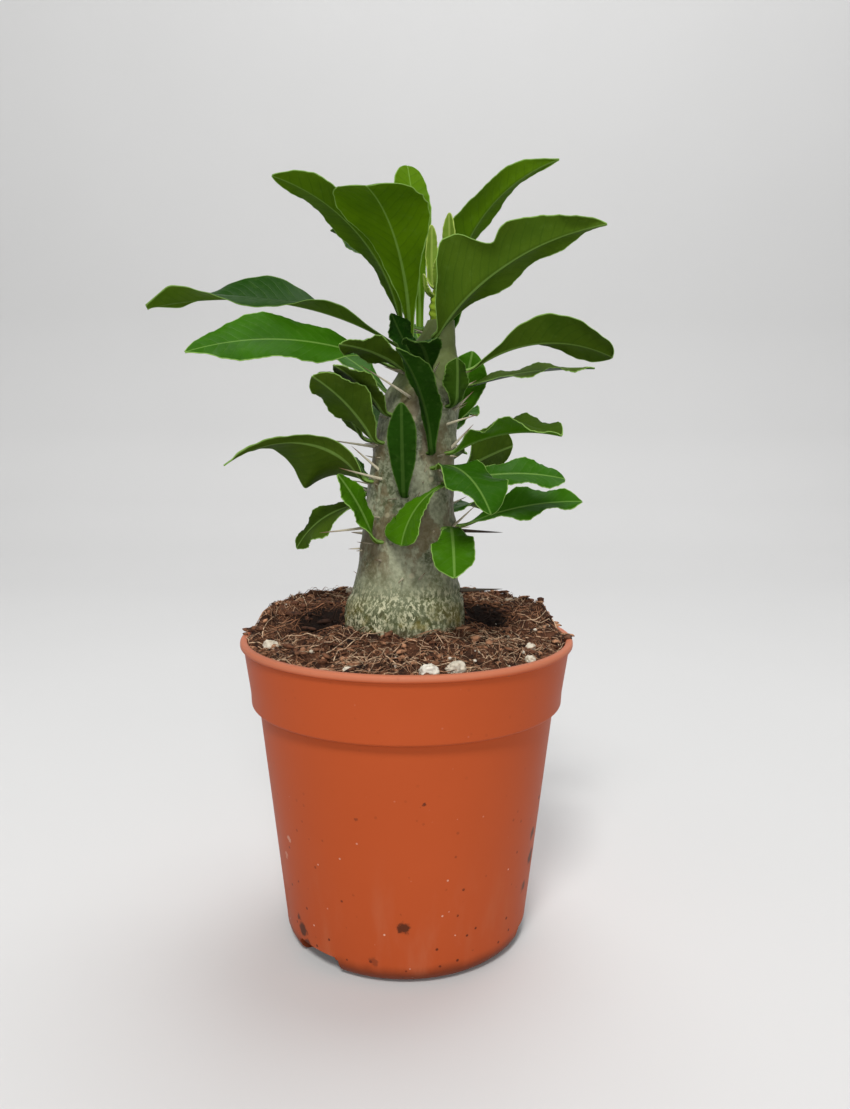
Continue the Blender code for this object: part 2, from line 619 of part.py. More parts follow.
def tip_core(height):
    """Centre x and radius of the bud at a height above the stem's top."""
    share = height / TIP_HEIGHT
    centre_x = stem_core(STEM_TOP)[0] + (TIP_CENTRE_X - stem_core(STEM_TOP)[0]) * share
    return centre_x, TIP_RADIUS * (1.0 - 0.72 * share ** 2) * (0.86 + 0.14 * math.sin(3.0 * share + 0.3))


def build_growing_tip(material):
    base = STEM_TOP + SOIL_GAP
    rings = []
    for i in range(TIP_RINGS):
        height = TIP_HEIGHT * i / (TIP_RINGS - 1)
        rings.append(ring(*tip_core(height), base + height, TIP_SIDES))
    tip = add_object("growing_tip", *skin(rings), material, 60.0)
    young = []
    for order, leaf in enumerate(YOUNG_LEAVES):
        centre_x, radius = tip_core(leaf.height - base)
        out = radius - YOUNG_LEAF_ROOT
        start = np.array([centre_x, 0.0, leaf.height]) + out * direction(leaf.seat, 0.0)
        points, faces = leaf_solid(leaf, order, start)
        young.append(add_object(leaf.name, points, faces))
    unite(tip, young)
    return tip


def main():
    clear_scene()
    build_pot(plain_material("pot_plastic", POT_COLOUR, 0.42))
    build_soil(plain_material("soil", SOIL_COLOUR, 0.95))
    build_stem(plain_material("stem_bark", STEM_COLOUR, 0.7))
    build_growing_tip(plain_material("young_growth", TIP_COLOUR, 0.5))
    build_leaves(plain_material("leaf_green", LEAF_COLOUR, 0.35))


main()
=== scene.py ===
"""Dresses the potted pachypodium: moulded pot, fibrous soil, barked stem with spines, and waved leaves.

The tables and named sizes are in millimetres and degrees, as on the plant, and meshes are in metres.
An azimuth of 0 points along +X, 90 along +Y, and the plant's front is towards -Y.
"""
import math
import random
from typing import NamedTuple

import bmesh
import bpy
import numpy as np
from mathutils import Matrix, Vector, noise

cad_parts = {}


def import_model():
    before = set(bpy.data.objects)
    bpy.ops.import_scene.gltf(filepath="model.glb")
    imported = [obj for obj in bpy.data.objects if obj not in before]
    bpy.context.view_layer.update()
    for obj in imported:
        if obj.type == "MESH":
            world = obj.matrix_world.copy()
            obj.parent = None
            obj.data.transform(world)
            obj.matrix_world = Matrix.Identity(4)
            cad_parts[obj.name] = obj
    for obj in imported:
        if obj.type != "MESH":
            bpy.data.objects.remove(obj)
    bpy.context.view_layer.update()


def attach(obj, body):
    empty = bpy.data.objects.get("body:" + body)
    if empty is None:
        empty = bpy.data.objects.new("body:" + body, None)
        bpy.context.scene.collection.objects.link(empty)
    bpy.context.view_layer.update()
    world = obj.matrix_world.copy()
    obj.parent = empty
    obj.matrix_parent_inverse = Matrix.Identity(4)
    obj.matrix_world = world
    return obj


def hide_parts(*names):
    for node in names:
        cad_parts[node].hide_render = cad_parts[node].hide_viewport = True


MM = 0.001
SEED = 7

# Camera and light, with places in metres
IMAGE_HEIGHT = 1109
FOCAL_PIXELS = 890
CAMERA_PLACE = (0, -0.32, 0.18)
CAMERA_YAW = 1.15
CAMERA_PITCH = 7.25
CAMERA_ROLL = 0.3
LIGHTS_AIM = (0, 0, 0.15)
WORLD_STRENGTH = 0.22

# Pot
POT_HEIGHT = 110
RIM_RADIUS = 60
LIP_HEIGHT = 2.4
LIP_REACH = 1.2
COLLAR_FOOT_HEIGHT = 90.5
COLLAR_FOOT_RADIUS = 56.4
COLLAR_UNDERSIDE = 86.5
BODY_TOP_HEIGHT = 85.2
BODY_TOP_RADIUS = 53.5
BODY_FOOT_RADIUS = 44
FOOT_ROUND = 6
WALL = 1.4
LIP_INNER = RIM_RADIUS - LIP_REACH - WALL
POT_SIDES = 180
POT_SHARP_ANGLE = 40
DRAIN_AZIMUTHS = (226, 346, 106)
DRAIN_WIDTH = 20
DRAIN_HEIGHT = 6.4
DRAIN_DEPTH = 7
MARK_RAGGED = 4.5  # how far noise draws in a mark's edge
MARK_OFFSET = 2.2  # what is added to a mark's radius to make up for that
MUD = (0.05, 0.024, 0.014)
WET_MUD = (0.045, 0.02, 0.012)
SPLASH = (0.05, 0.022, 0.014)
FLECK = (0.14, 0.03, 0.014)
SCRAPE = (0.66, 0.42, 0.32)
POT_MARKS = (  # azimuth and height on the wall, radius, softness, and colour with its strength
    (268.8, 22, 1.5, 1.2, (0.05, 0.018, 0.01), 0.85),
    (256, 8.5, 1, 1.2, (0.16, 0.035, 0.015), 0.6),
    (275.5, 66, 0.3, 0.5, (0.06, 0.02, 0.012), 0.8),
    (276, 98, 0.2, 0.4, FLECK, 0.7),
    (251, 60, 0.2, 0.4, FLECK, 0.6),
    (214.5, 15, 0.7, 1, SPLASH, 0.8),
    (217, 10.5, 1.6, 1.6, WET_MUD, 0.85),
    (220, 6.5, 1.2, 1.2, SPLASH, 0.8),
    (341, 54, 0.5, 0.9, MUD, 0.8),
    (336.5, 42, 1.3, 1.6, MUD, 0.8),
    (339, 32.5, 1.9, 1.8, WET_MUD, 0.85),
    (333, 23, 0.9, 1.6, MUD, 0.8),
    (214, 44, 0.5, 0.8, SCRAPE, 0.5),
    (209, 36, 0.6, 1, SCRAPE, 0.4),
)

# Soil
SOIL_GAP = 0.3
SOIL_AT_RIM = 107.8
SOIL_MOUND = 6
SOIL_MOUND_START = 20
SOIL_MOUND_REACH = 34
SOIL_BACK_HEAP = 9.5
SOIL_BACK_HEAP_START = -12
SOIL_BACK_HEAP_REACH = 28
SOIL_INSET_REACH = 4.5
LEFT_HOLLOW = (-31, 4, 2.6)
RIGHT_HOLLOW = (29, 8, 2.2)
HOLLOW_SPREAD = 7.7
HOLLOW_SHADE_SPREAD = 10
HOLLOW_SHADE = 1.3
HOLLOW_SINK = 1.8
SOIL_SIDES = 220
SOIL_RINGS = 46
SOIL_SKIRT = 100
BACK_START = -16
BACK_REACH = 12
SIDE_HEAP = 2.6
SIDE_HEAP_START = 49
SIDE_HEAP_REACH = 6
SOIL_OUTER = 57
SOIL_INNER = 22.5
SOIL_HOLE_INSET = 0.6
LUMP_ROUGHNESS = 0.35
CRUMBLE = 0.9
CRUMBLE_SINK = 0.35
RIM_GAP = 0.6
RIM_OVERHANG = 2.2
LONG_FIBRE_SHARE = 0.12
# Bounds of a fibre's length, curl, arch, radius, tone and tilt
LONG_FIBRE = ((12, 26), (-2.6, 2.6), (0.2, 2.6), (0.14, 0.34), (0.5, 1), (0.1, 1))
SHORT_FIBRE = ((3, 10), (-1.2, 1.2), (0, 1.4), (0.08, 0.22), (0, 1), (0.1, 1))
CHIPS_AT_RIM = (52, 62)
FIBRE_COUNT = 2300
CRUMB_COUNT = 1500
CHIP_COUNT = 130
SPECK_COUNT = 60
GRAINS = (  # azimuth, distance from the axis, size of each big grain of perlite
    (196, 49.5, 3),
    (249, 51, 1.8),
    (278, 50.5, 3),
    (289, 48.5, 3.2),
    (322, 52, 2),
    (340, 46, 1.8),
    (34, 49, 2),
    (88, 51, 2.4),
    (118, 50, 2),
)

# Stem
SOIL_LINE = 114
STEM_FOOT = 96
STEM_TOP = 222
STEM_SIDES = 220
STEM_RING_STEP = 0.5
STEM_KNOTS = (  # height, centre x and radius, joined by a smooth curve
    (88, -0.5, 14),
    (97, -0.5, 18.5),
    (106, -0.6, 21.2),
    (114, -0.7, 21.8),
    (121, -0.7, 21.4),
    (127, -0.5, 19.6),
    (133, -0.2, 18),
    (142, 0.2, 17),
    (156, 0.8, 15.9),
    (170, 1.7, 14.9),
    (184, 3.2, 14.1),
    (196, 5.4, 13),
    (206, 8, 10),
    (214, 10.2, 6.6),
    (222, 11.8, 4.6),
)
SCAR_COUNT = 20
SCAR_LOWEST = 126
SCAR_HIGHEST = 204
SCAR_RISE = 0.7
SEAT_RISE = 1
BUMP_LIMIT = 1.4
BUMP_SPREAD = 3
KNOB_SPREAD = 1.6
BUMPS_START = 2
BUMPS_REACH = 8
STEM_TOP_FADE = 3
CREASE_HEIGHT = 126
CRACKED_BELOW = 133
GOLDEN_TURN = 137.5

# Thorns
THORN_RADIUS = 0.8
THORN_ROOT = 2
THORN_SIDES = 8
THORN_SHARES = np.linspace(0, 1, 9)
THORN_TIP = 0.04
SPINE_RADIUS = 0.4
SPINE_DROP = 1
SPINE_SPLAY = 12
THORNS = (  # height, azimuth on the stem, azimuth pointed to, rise, length and darkness
    (192, 200, 192, 10, 18, 0.1),
    (195, 250, 224, 24, 24, 0.1),
    (178, 196, 188, 8, 16, 0.2),
    (170.5, 216, 192, 40, 12, 0.2),
    (167, 226, 206, 14, 16, 0.2),
    (191, 332, 340, 44, 9, 0.2),
    (186, 318, 330, 16, 12, 0.1),
    (178, 332, 340, 46, 11, 0.3),
    (150, 338, 345, 44, 11, 0.2),
    (150, 212, 200, -6, 18, 0.3),
    (148, 8, 2, -4, 18, 1),
    (126.5, 355, 0, 1, 15, 0.9),
    (147, 180, 180, 5, 4, 0.6),
    (139, 238, 232, 10, 3, 0.6),
    (197, 78, 70, 30, 12, 0.2),
    (178, 100, 104, 20, 14, 0.3),
    (164, 132, 140, 20, 13, 0.2),
    (155, 80, 76, 10, 12, 0.4),
    (140, 60, 52, 5, 10, 0.5),
    (136, 120, 126, 0, 9, 0.6),
)

# Leaves
STALK_HALF_WIDTH = 1.1
STALK_SHARE = 0.07
EDGE_HALF_WIDTH = 0.35
STALK_THICKNESS = 1.5
STALK_FADE = 9
RIB_THICKNESS = 0.8
EDGE_THICKNESS = 0.34
ROOT_LIFT = 8
ELBOW = 6
SEAT_GAP = 0.35
STALK_SUNK = 1.3
LEAF_GRID = (76, 27)
SMALL_LEAF_GRID = (30, 13)
YOUNG_LEAF_GRID = (36, 13)
RIB_STEPS = 160
EDGE_CROWDING = 0.92
TIP_CROWDING = 1.2
RIB_SPREAD = 0.9
RIB_GROOVE = 0.22
SMALL_LEAF_WIDTH = 9
LEAF_GLOSS = 0.03
VEIN_PITCH = 3.8
VEIN_SLANT = 0.62
VEIN_BOW = 0.03

# Growing tip
TIP_RADIUS = 4.4
TIP_HEIGHT = 13
TIP_CENTRE_X = 11
TIP_SUNK = 0.4
TIP_SIDES = 48
TIP_RINGS = 34
YOUNG_LEAF_BASE = 0.3
YOUNG_LEAF_SUNK = 1.6


class Leaf(NamedTuple):
    """A leaf on the stem: where it sits, how its midrib runs, and the form of its blade."""
    name: str
    height: float  # of its seat on the stem
    seat: float  # azimuth of its seat
    azimuth: float  # azimuth that its midrib heads for
    rise: float  # lift of the midrib above level, after the elbow of its stalk
    drop: float  # lift at the tip
    length: float
    width: float
    roll: float = 0  # turn of the blade about its midrib, left side up
    cup: float = 14  # lift of both halves of the blade from the midrib
    wave: float = 1.2  # height of the waves at its edges
    waves: float = 2.6  # waves along each edge
    phase: tuple = None  # where the waves start, on the left and on the right edge
    point: float = 0.8  # low for a blunt tip, high for a drawn-out one
    bend: float = 1  # low for a midrib that bends near its stalk
    ripple: float = 0.04  # share of the width by which the outline goes in and out
    rising: float = 1.35  # low for a blade that is broad near its stalk, high for a slender foot
    lean: float = 0  # share by which the left half is the broader one
    twist: float = 0  # further turn of the blade towards its tip
    dents: tuple = ()  # side, share of the length, depth and reach of dents in the outline
    look: tuple = (0.4, 0.4)  # brightness of the upper face and yellowness of the underside, 0 to 1, partly painted light and shade: leaves in shade are dull, and the yellow underside is painted light shining through the blade
    flipped: bool = False  # whether its two faces have each other's colours


LEAVES = (
    Leaf("crown_1", 214, 190, 192, 88, 14, 76, 18, 24, 14, look=(0.5, 0.8)),
    Leaf("crown_2", 211, 226, 250, 96, 5, 66, 30, 0, 12, point=0.5, rising=2.2, lean=-0.02,
         look=(0.5, 1)),
    Leaf("crown_3", 216, 128, 106, 92, 60, 70, 14, 0, 14, 1, point=0.6, rising=2.4, look=(0.8, 1),
         flipped=True),
    Leaf("crown_4", 215.5, 62, 8, 104, 20, 84, 18, -40, 36, bend=0.95, rising=1, point=1.1,
         look=(0.4, 0.85)),
    Leaf("crown_5", 215, 262, 342, 57, 6, 70, 28, -44, 46, 1.5, 3, (0.5, 0.05), 1.15, ripple=0.12,
         rising=0.85, lean=-0.3,
         dents=((-1, 0.24, 0.12, 0.06), (-1, 0.5, 0.42, 0.06), (-1, 0.7, 0.45, 0.17)), look=(0.5, 0.62)),
    Leaf("crown_6", 219, 176, 142, 68, 24, 58, 14, 0, 14, 1.6, look=(0.1, 0.2)),
    Leaf("left_1", 212, 183, 186, 37, -14, 92, 22, -14, 30, 4.4, 1.5, (0.85, 0.41), bend=0.8,
         look=(0.12, 0.75)),
    Leaf("left_2", 205, 205, 202, 24, -19, 74, 24, -42, 10, point=1, rising=1.3, look=(0.6, 0.5)),
    Leaf("left_3", 166, 209, 196, 73, -38, 56, 24, 64, 10, 1.5, 1.2, (0.33, 0.83), 1.3, 0.75, rising=0.45,
         lean=-0.6, twist=-64, look=(0.45, 0.5)),
    Leaf("left_4", 156, 165, 168, -4, -62, 32, 17, -40, lean=0.3, rising=0.9, look=(0.25, 0.45),
         flipped=True),
    Leaf("left_5", 166, 150, 160, 75, 60, 11, 6, 0, 10, 0.3),
    Leaf("right_1", 204.5, 350, 350, 40, -27, 54, 23, -24, 30, 2.6, 1.2, (0.73, 0.6), 0.5,
         look=(0.5, 0.6)),
    Leaf("right_2", 199.5, 12, 12, 18, 0, 51, 16, 12, 12, rising=0.9, point=1.3, look=(0.1, 0.55),
         flipped=True),
    Leaf("right_3", 186, 40, 24, 74, 78, 30, 15, 60, 14, 0.8, look=(0.7, 0.8)),
    Leaf("right_4", 192, 310, 310, 80, 95, 18, 12, 0, 14, 0.6, look=(0.15, 0.2)),
    Leaf("right_5", 176, 318, 322, 30, -12, 45, 21, 6, 40, 1.8, look=(1, 0.3), flipped=True),
    Leaf("right_6", 168, 30, 38, 26, 14, 33, 25, -72, 12, look=(0.4, 0.55)),
    Leaf("right_7", 165.5, 16, 16, 14, -12, 44, 17, 34, 12, 1, point=0.6, look=(0.45, 0.4)),
    Leaf("right_8", 150, 350, 352, 26, 0, 45, 20, 26, 18, 1.6, point=1, look=(0.6, 0.4)),
    Leaf("front_1", 171, 296, 296, 14, -52, 42, 21, 0, 12, 2, look=(0.3, 0.7)),
    Leaf("front_2", 150, 314, 270, 8, -56, 34, 15, 10, 12, rising=1.8, look=(0.75, 0.8)),
    Leaf("front_3", 161.5, 263, 266, 62, 78, 35, 10, 0, 14, 0.4, look=(0.1, 0)),
    Leaf("front_4", 165.5, 314, 212, -6, -80, 33, 21, 0, 14, 0.4, point=0.5, rising=2.6, look=(1, 0.8)),
    Leaf("front_5", 145.5, 237, 202, 74, 50, 29, 11, -55, 12, 0.8, look=(0.9, 0.7)),
    Leaf("front_6", 176, 290, 240, 86, 26, 44, 11, -10, 12, 0.8, lean=0.4, look=(0.2, 0)),
    Leaf("front_7", 204, 234, 226, 26, 0, 32, 14, 20),
    Leaf("front_8", 206.5, 247, 204, 56, 64, 20, 13, -60, 14, 0.8, look=(0, 0)),
    Leaf("front_9", 204.5, 268, 258, 46, -10, 26, 13, 0, 14, 0.8, look=(0, 0)),
    Leaf("front_10", 179.5, 222, 217, 58, 26, 35, 20, 18, look=(0.4, 0.55)),
    Leaf("front_11", 180, 174, 182, 64, 50, 31, 17, 40, 14, 0.8),
    Leaf("front_12", 189, 228, 228, 48, 20, 30, 14, 0, 14, 0.8),
    Leaf("back_1", 208, 90, 92, 42, -10, 74, 23, 0, 14, 2),
    Leaf("back_2", 210, 75, 58, 84, 30, 52, 13, 0, 14, 1.6),
    Leaf("back_3", 192, 78, 80, 30, -14, 60, 20, 0, 14, 1.6),
    Leaf("back_4", 180, 122, 120, 42, 0, 54, 20, 0, 14, 1.6),
    Leaf("back_5", 170, 74, 75, 22, -15, 54, 18, 0, 14, 1.4),
    Leaf("back_6", 158, 112, 108, 16, -20, 48, 17, 0, 14, 1.4),
    Leaf("back_7", 151, 55, 60, 20, -15, 42, 16),
    Leaf("back_8", 143, 95, 95, 10, -32, 38, 15),
    Leaf("back_9", 197, 140, 138, 42, 4, 66, 21, 0, 14, 1.6),
    Leaf("back_10", 180, 62, 66, 34, 8, 40, 16, 0, 14, 1.4),
)

YOUNG_LEAVES = (  # small folded leaves of the growing tip
    Leaf("young_1", 233, 20, 60, 84, 96, 28, 6, 0, 30, 0.3),
    Leaf("young_2", 233, 150, 110, 86, 92, 24, 5, 0, 30, 0.3),
    Leaf("young_3", 231, 262, 262, 70, 92, 14, 5, 0, 30, 0.2),
    Leaf("young_4", 230, 200, 200, 60, 88, 10, 4, 0, 30, 0.2),
)


# Small helpers

def ease(x):
    """0 below 0, 1 above 1, and a smooth rise between."""
    x = np.clip(x, 0, 1)
    return x * x * (3 - 2 * x)


def between(draw, *bounds):
    """A random number between each pair of bounds."""
    return [draw.uniform(low, high) for low, high in bounds]


def direction(azimuth, lift):
    """Unit vector that points to an azimuth, lifted above level."""
    a, e = math.radians(azimuth), math.radians(lift)
    return np.array([math.cos(e) * math.cos(a), math.cos(e) * math.sin(a), math.sin(e)])


def mesh_piece(name, points, faces, materials, replaced, values=None, choice=None):
    """A smooth piece that rides on the root body and replaces a node, from points in millimetres.
    The values are named numbers at its points, and the choice is the material of each face."""
    mesh = bpy.data.meshes.new(name)
    mesh.from_pydata(np.asarray(points) * MM, [], faces)
    for key, column in (values or {}).items():
        column = np.asarray(column, np.float32)
        mesh.attributes.new(key, "FLOAT", "POINT").data.foreach_set("value", column)
    mesh.shade_smooth()
    for material in materials:
        mesh.materials.append(material)
    if choice:
        mesh.polygons.foreach_set("material_index", choice)
    piece = new_object(name, mesh)
    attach(piece, "root")
    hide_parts(replaced)
    return piece


def tube_faces(rings, sides, first=0):
    """Faces of a closed tube whose points are numbered ring by ring."""
    faces = []
    for i in range(rings - 1):
        low, high = first + i * sides, first + (i + 1) * sides
        for j in range(sides):
            k = (j + 1) % sides
            faces.append((low + j, low + k, high + k, high + j))
    last = first + (rings - 1) * sides
    return faces + [tuple(range(first + sides - 1, first - 1, -1)), tuple(range(last, last + sides))]


def ring(radius, height, sides, centre_x=0):
    """Points of a level circle."""
    turns = np.radians(np.arange(sides) * 360 / sides)
    return [(centre_x + radius * math.cos(a), radius * math.sin(a), height) for a in turns]


def new_object(name, data):
    """A new object, put in the scene."""
    made = bpy.data.objects.new(name, data)
    bpy.context.collection.objects.link(made)
    return made


class Shader:
    """A material that is built up by short calls. Most of them return an output socket, and base, ramp
    and paint set its colour."""

    def __init__(self, name):
        self.material = bpy.data.materials.new(name)
        self.material.use_nodes = True
        self.tree = self.material.node_tree
        self.surface = self.tree.nodes["Principled BSDF"]
        self.place = self.tree.nodes.new("ShaderNodeTexCoord").outputs["Object"]

    def put(self, node, key, value):
        """Links a socket to an input of a node, or sets the input to a plain value."""
        if isinstance(value, bpy.types.NodeSocket):
            self.tree.links.new(value, node.inputs[key])
        else:
            node.inputs[key].default_value = value

    def add(self, kind, inputs, **settings):
        node = self.tree.nodes.new(kind)
        for key, value in settings.items():
            setattr(node, key, value)
        for key, value in inputs.items():
            self.put(node, key, value)
        return node

    def math(self, operation, a, b=0):
        return self.add("ShaderNodeMath", {0: a, 1: b}, operation=operation).outputs[0]

    def times(self, a, b):
        return self.math("MULTIPLY", a, b)

    def plus(self, a, b):
        return self.math("ADD", a, b)

    def minus(self, a, b):
        return self.math("SUBTRACT", a, b)

    def step(self, value, low, high, start=0, end=1):
        """Rises smoothly from start to end as value goes from low to high."""
        inputs = {0: value, 1: low, 2: high, 3: start, 4: end}
        return self.add("ShaderNodeMapRange", inputs, interpolation_type="SMOOTHSTEP").outputs[0]

    def mix(self, share, a, b):
        a, b = [(*c, 1) if isinstance(c, tuple) else c for c in (a, b)]
        return self.add("ShaderNodeMix", {0: share, 6: a, 7: b}, data_type="RGBA").outputs[2]

    def base(self, share, a, b):
        """Starts the colour as a mix of two."""
        self.colour = self.mix(share, a, b)

    def paint(self, mask, tint, share=None):
        """Lays a tint over the colour so far, where the mask says and as strongly as the share says."""
        if share is not None:
            mask = self.times(mask, share)
        self.colour = self.mix(mask, self.colour, tint)

    def ramp(self, value, shades):
        """Starts the colour as three shades, passed through as value goes from 0 to 1."""
        self.base(self.step(value, 0, 0.5), shades[0], shades[1])
        self.paint(self.step(value, 0.5, 1), shades[2])

    def scaled(self, x, y, z):
        """The place on the object, scaled along each axis."""
        return self.add("ShaderNodeMapping", {"Vector": self.place, "Scale": (x, y, z)}).outputs[0]

    def noise(self, scale, detail=4, roughness=0.55, place=None):
        inputs = {"Vector": place or self.place, "Scale": scale, "Detail": detail, "Roughness": roughness}
        return self.add("ShaderNodeTexNoise", inputs).outputs[0]

    def cells(self, scale, place=None):
        """Distance to the nearest of many scattered points."""
        inputs = {"Vector": place or self.place, "Scale": scale}
        return self.add("ShaderNodeTexVoronoi", inputs).outputs["Distance"]

    def value(self, name):
        return self.add("ShaderNodeAttribute", {}, attribute_name=name).outputs["Fac"]

    def from_point(self, point):
        """Distance from a point in millimetres, in metres."""
        inputs = {0: self.place, 1: tuple(c * MM for c in point)}
        return self.add("ShaderNodeVectorMath", inputs, operation="DISTANCE").outputs["Value"]

    def finish(self, roughness, relief=None, depth=0.3, strength=1, gloss=0.25):
        """Sets the surface, with the depth of its relief in millimetres."""
        self.put(self.surface, "Specular IOR Level", gloss)
        self.put(self.surface, "Base Color", self.colour)
        self.put(self.surface, "Roughness", roughness)
        if relief is not None:
            inputs = {"Strength": strength, "Distance": depth * MM, "Height": relief}
            self.put(self.surface, "Normal", self.add("ShaderNodeBump", inputs).outputs[0])
        return self.material


# Stage: camera, light and floor

def build_camera():
    yaw, pitch, roll = (math.radians(a) for a in (CAMERA_YAW, CAMERA_PITCH, CAMERA_ROLL))
    data = bpy.data.cameras.new("camera")
    data.lens = data.sensor_width * FOCAL_PIXELS / IMAGE_HEIGHT
    data.clip_start = 0.01
    camera = new_object("camera", data)
    turn = Matrix.Rotation(-yaw, 4, "Z") @ Matrix.Rotation(math.pi / 2 - pitch, 4, "X")
    camera.matrix_world = Matrix.Translation(CAMERA_PLACE) @ turn @ Matrix.Rotation(roll, 4, "Z")
    bpy.context.scene.camera = camera


def add_light(name, place, size, power, colour):
    data = bpy.data.lights.new(name, "AREA")
    data.shape = "DISK"
    data.size = size
    data.energy = power
    data.color = colour
    light = new_object(name, data)
    light.location = place
    towards = Vector(LIGHTS_AIM) - Vector(place)
    light.rotation_euler = towards.to_track_quat("-Z", "Y").to_euler()


def build_stage():
    add_light("key_light", (-0.3, -1.5, 2.1), 0.6, 40, (1, 0.99, 0.97))
    add_light("front_light", (0.25, -2.3, 1), 0.7, 17, (0.98, 0.99, 1))
    add_light("back_light", (0.3, 0.5, 2.2), 1.3, 24, (1, 1, 1))
    world = bpy.data.worlds.new("world")
    world.use_nodes = True
    sky = world.node_tree.nodes["Background"].inputs
    sky["Color"].default_value = (1, 1, 1, 1)
    sky["Strength"].default_value = WORLD_STRENGTH
    bpy.context.scene.world = world
    bpy.context.scene.view_settings.view_transform = "Standard"
    sweep = [(-3, 0), (0.8, 0), (1, 0.02), (1.15, 0.08), (1.25, 0.2), (1.3, 0.4), (1.3, 2.5)]
    points = [(side * 3, y, z) for y, z in sweep for side in (-1, 1)]
    faces = [(2 * i, 2 * i + 1, 2 * i + 3, 2 * i + 2) for i in range(len(sweep) - 1)]
    mesh = bpy.data.meshes.new("floor")
    mesh.from_pydata(points, [], faces)
    mesh.shade_smooth()
    floor = new_object("floor", mesh)
    paper = Shader("floor_paper")
    speckle = paper.noise(3, 2)
    paper.base(speckle, (0.6, 0.6, 0.6), (0.63, 0.63, 0.63))
    mesh.materials.append(paper.finish(0.95, gloss=0.05))


# Pot

def body_radius(height):
    """Outer radius of the pot's tapering wall below the collar."""
    return BODY_FOOT_RADIUS + (BODY_TOP_RADIUS - BODY_FOOT_RADIUS) * height / BODY_TOP_HEIGHT


def arc(centre_r, centre_z, radius, start, end, steps):
    """Radius and height pairs along an arc of the pot's profile."""
    turns = np.radians(np.linspace(start, end, steps))
    return [(centre_r + radius * math.cos(a), centre_z + radius * math.sin(a)) for a in turns]


def pot_profile():
    """Radius and height pairs, from the middle of the underside round to the inner floor."""
    foot = body_radius(FOOT_ROUND) - FOOT_ROUND
    lip_foot = POT_HEIGHT - LIP_HEIGHT
    outside = arc(foot, FOOT_ROUND, FOOT_ROUND, -90, -6, 12)
    outside += [(body_radius(h), h) for h in np.linspace(FOOT_ROUND + 2, BODY_TOP_HEIGHT, 24)]
    outside += arc(BODY_TOP_RADIUS + 0.6, COLLAR_UNDERSIDE - 0.5, 0.5, 180, 90, 5)
    outside += arc(COLLAR_FOOT_RADIUS - 1.2, COLLAR_UNDERSIDE + 1.1, 1.1, -90, 0, 7)
    outside += [
        (COLLAR_FOOT_RADIUS + 0.1, COLLAR_FOOT_HEIGHT + 1),
        (RIM_RADIUS - LIP_REACH - 0.1, lip_foot - 0.6),
        (RIM_RADIUS - LIP_REACH, lip_foot - 0.1),
    ]
    outside += arc(RIM_RADIUS - 0.7, lip_foot + 0.7, 0.7, -90, 0, 5)
    outside += arc(RIM_RADIUS - 1, POT_HEIGHT - 1, 1, 0, 90, 6)
    outside += arc(LIP_INNER + 0.7, POT_HEIGHT - 0.7, 0.7, 90, 180, 5)
    inside = [
        (COLLAR_FOOT_RADIUS - WALL, COLLAR_FOOT_HEIGHT + 0.7),
        (BODY_TOP_RADIUS - WALL, BODY_TOP_HEIGHT - 0.6),
    ]
    inside += arc(foot, FOOT_ROUND, FOOT_ROUND - WALL, -6, -90, 6)
    return outside + inside


def inner_radius(height):
    """Inner radius of the pot's wall at a height above its rounded foot."""
    heights = [FOOT_ROUND, BODY_TOP_HEIGHT - 0.6, COLLAR_FOOT_HEIGHT + 0.7, POT_HEIGHT - 0.6]
    radii = [body_radius(FOOT_ROUND) - WALL, BODY_TOP_RADIUS - WALL, COLLAR_FOOT_RADIUS - WALL, LIP_INNER]
    return np.interp(height, heights, radii)


def cut_drains(pot):
    """Cuts the notches in the pot's foot."""
    cutters = []
    for azimuth in DRAIN_AZIMUTHS:
        mesh = bpy.data.meshes.new("drain_cutter")
        work = bmesh.new()
        bmesh.ops.create_cube(work, size=1)
        bmesh.ops.bevel(work, geom=work.edges, offset=0.06, segments=3, affect="EDGES")
        work.to_mesh(mesh)
        work.free()
        reach = BODY_FOOT_RADIUS - DRAIN_DEPTH + DRAIN_WIDTH / 2
        size = Matrix.Diagonal(Vector((DRAIN_WIDTH, DRAIN_WIDTH, 2 * DRAIN_HEIGHT, 1 / MM)) * MM)
        turn = Matrix.Rotation(math.radians(azimuth), 4, "Z")
        mesh.transform(turn @ Matrix.Translation(Vector((reach * MM, 0, 0))) @ size)
        cutter = new_object("drain_cutter", mesh)
        cutters.append(cutter)
        cut = pot.modifiers.new("drain", "BOOLEAN")
        cut.operation = "DIFFERENCE"
        cut.object = cutter
        cut.solver = "EXACT"
    mesh = bpy.data.meshes.new_from_object(pot.evaluated_get(bpy.context.evaluated_depsgraph_get()))
    pot.modifiers.clear()
    pot.data = mesh
    mesh.shade_smooth()
    mesh.set_sharp_from_angle(angle=math.radians(POT_SHARP_ANGLE))
    for cutter in cutters:
        bpy.data.objects.remove(cutter, do_unlink=True)


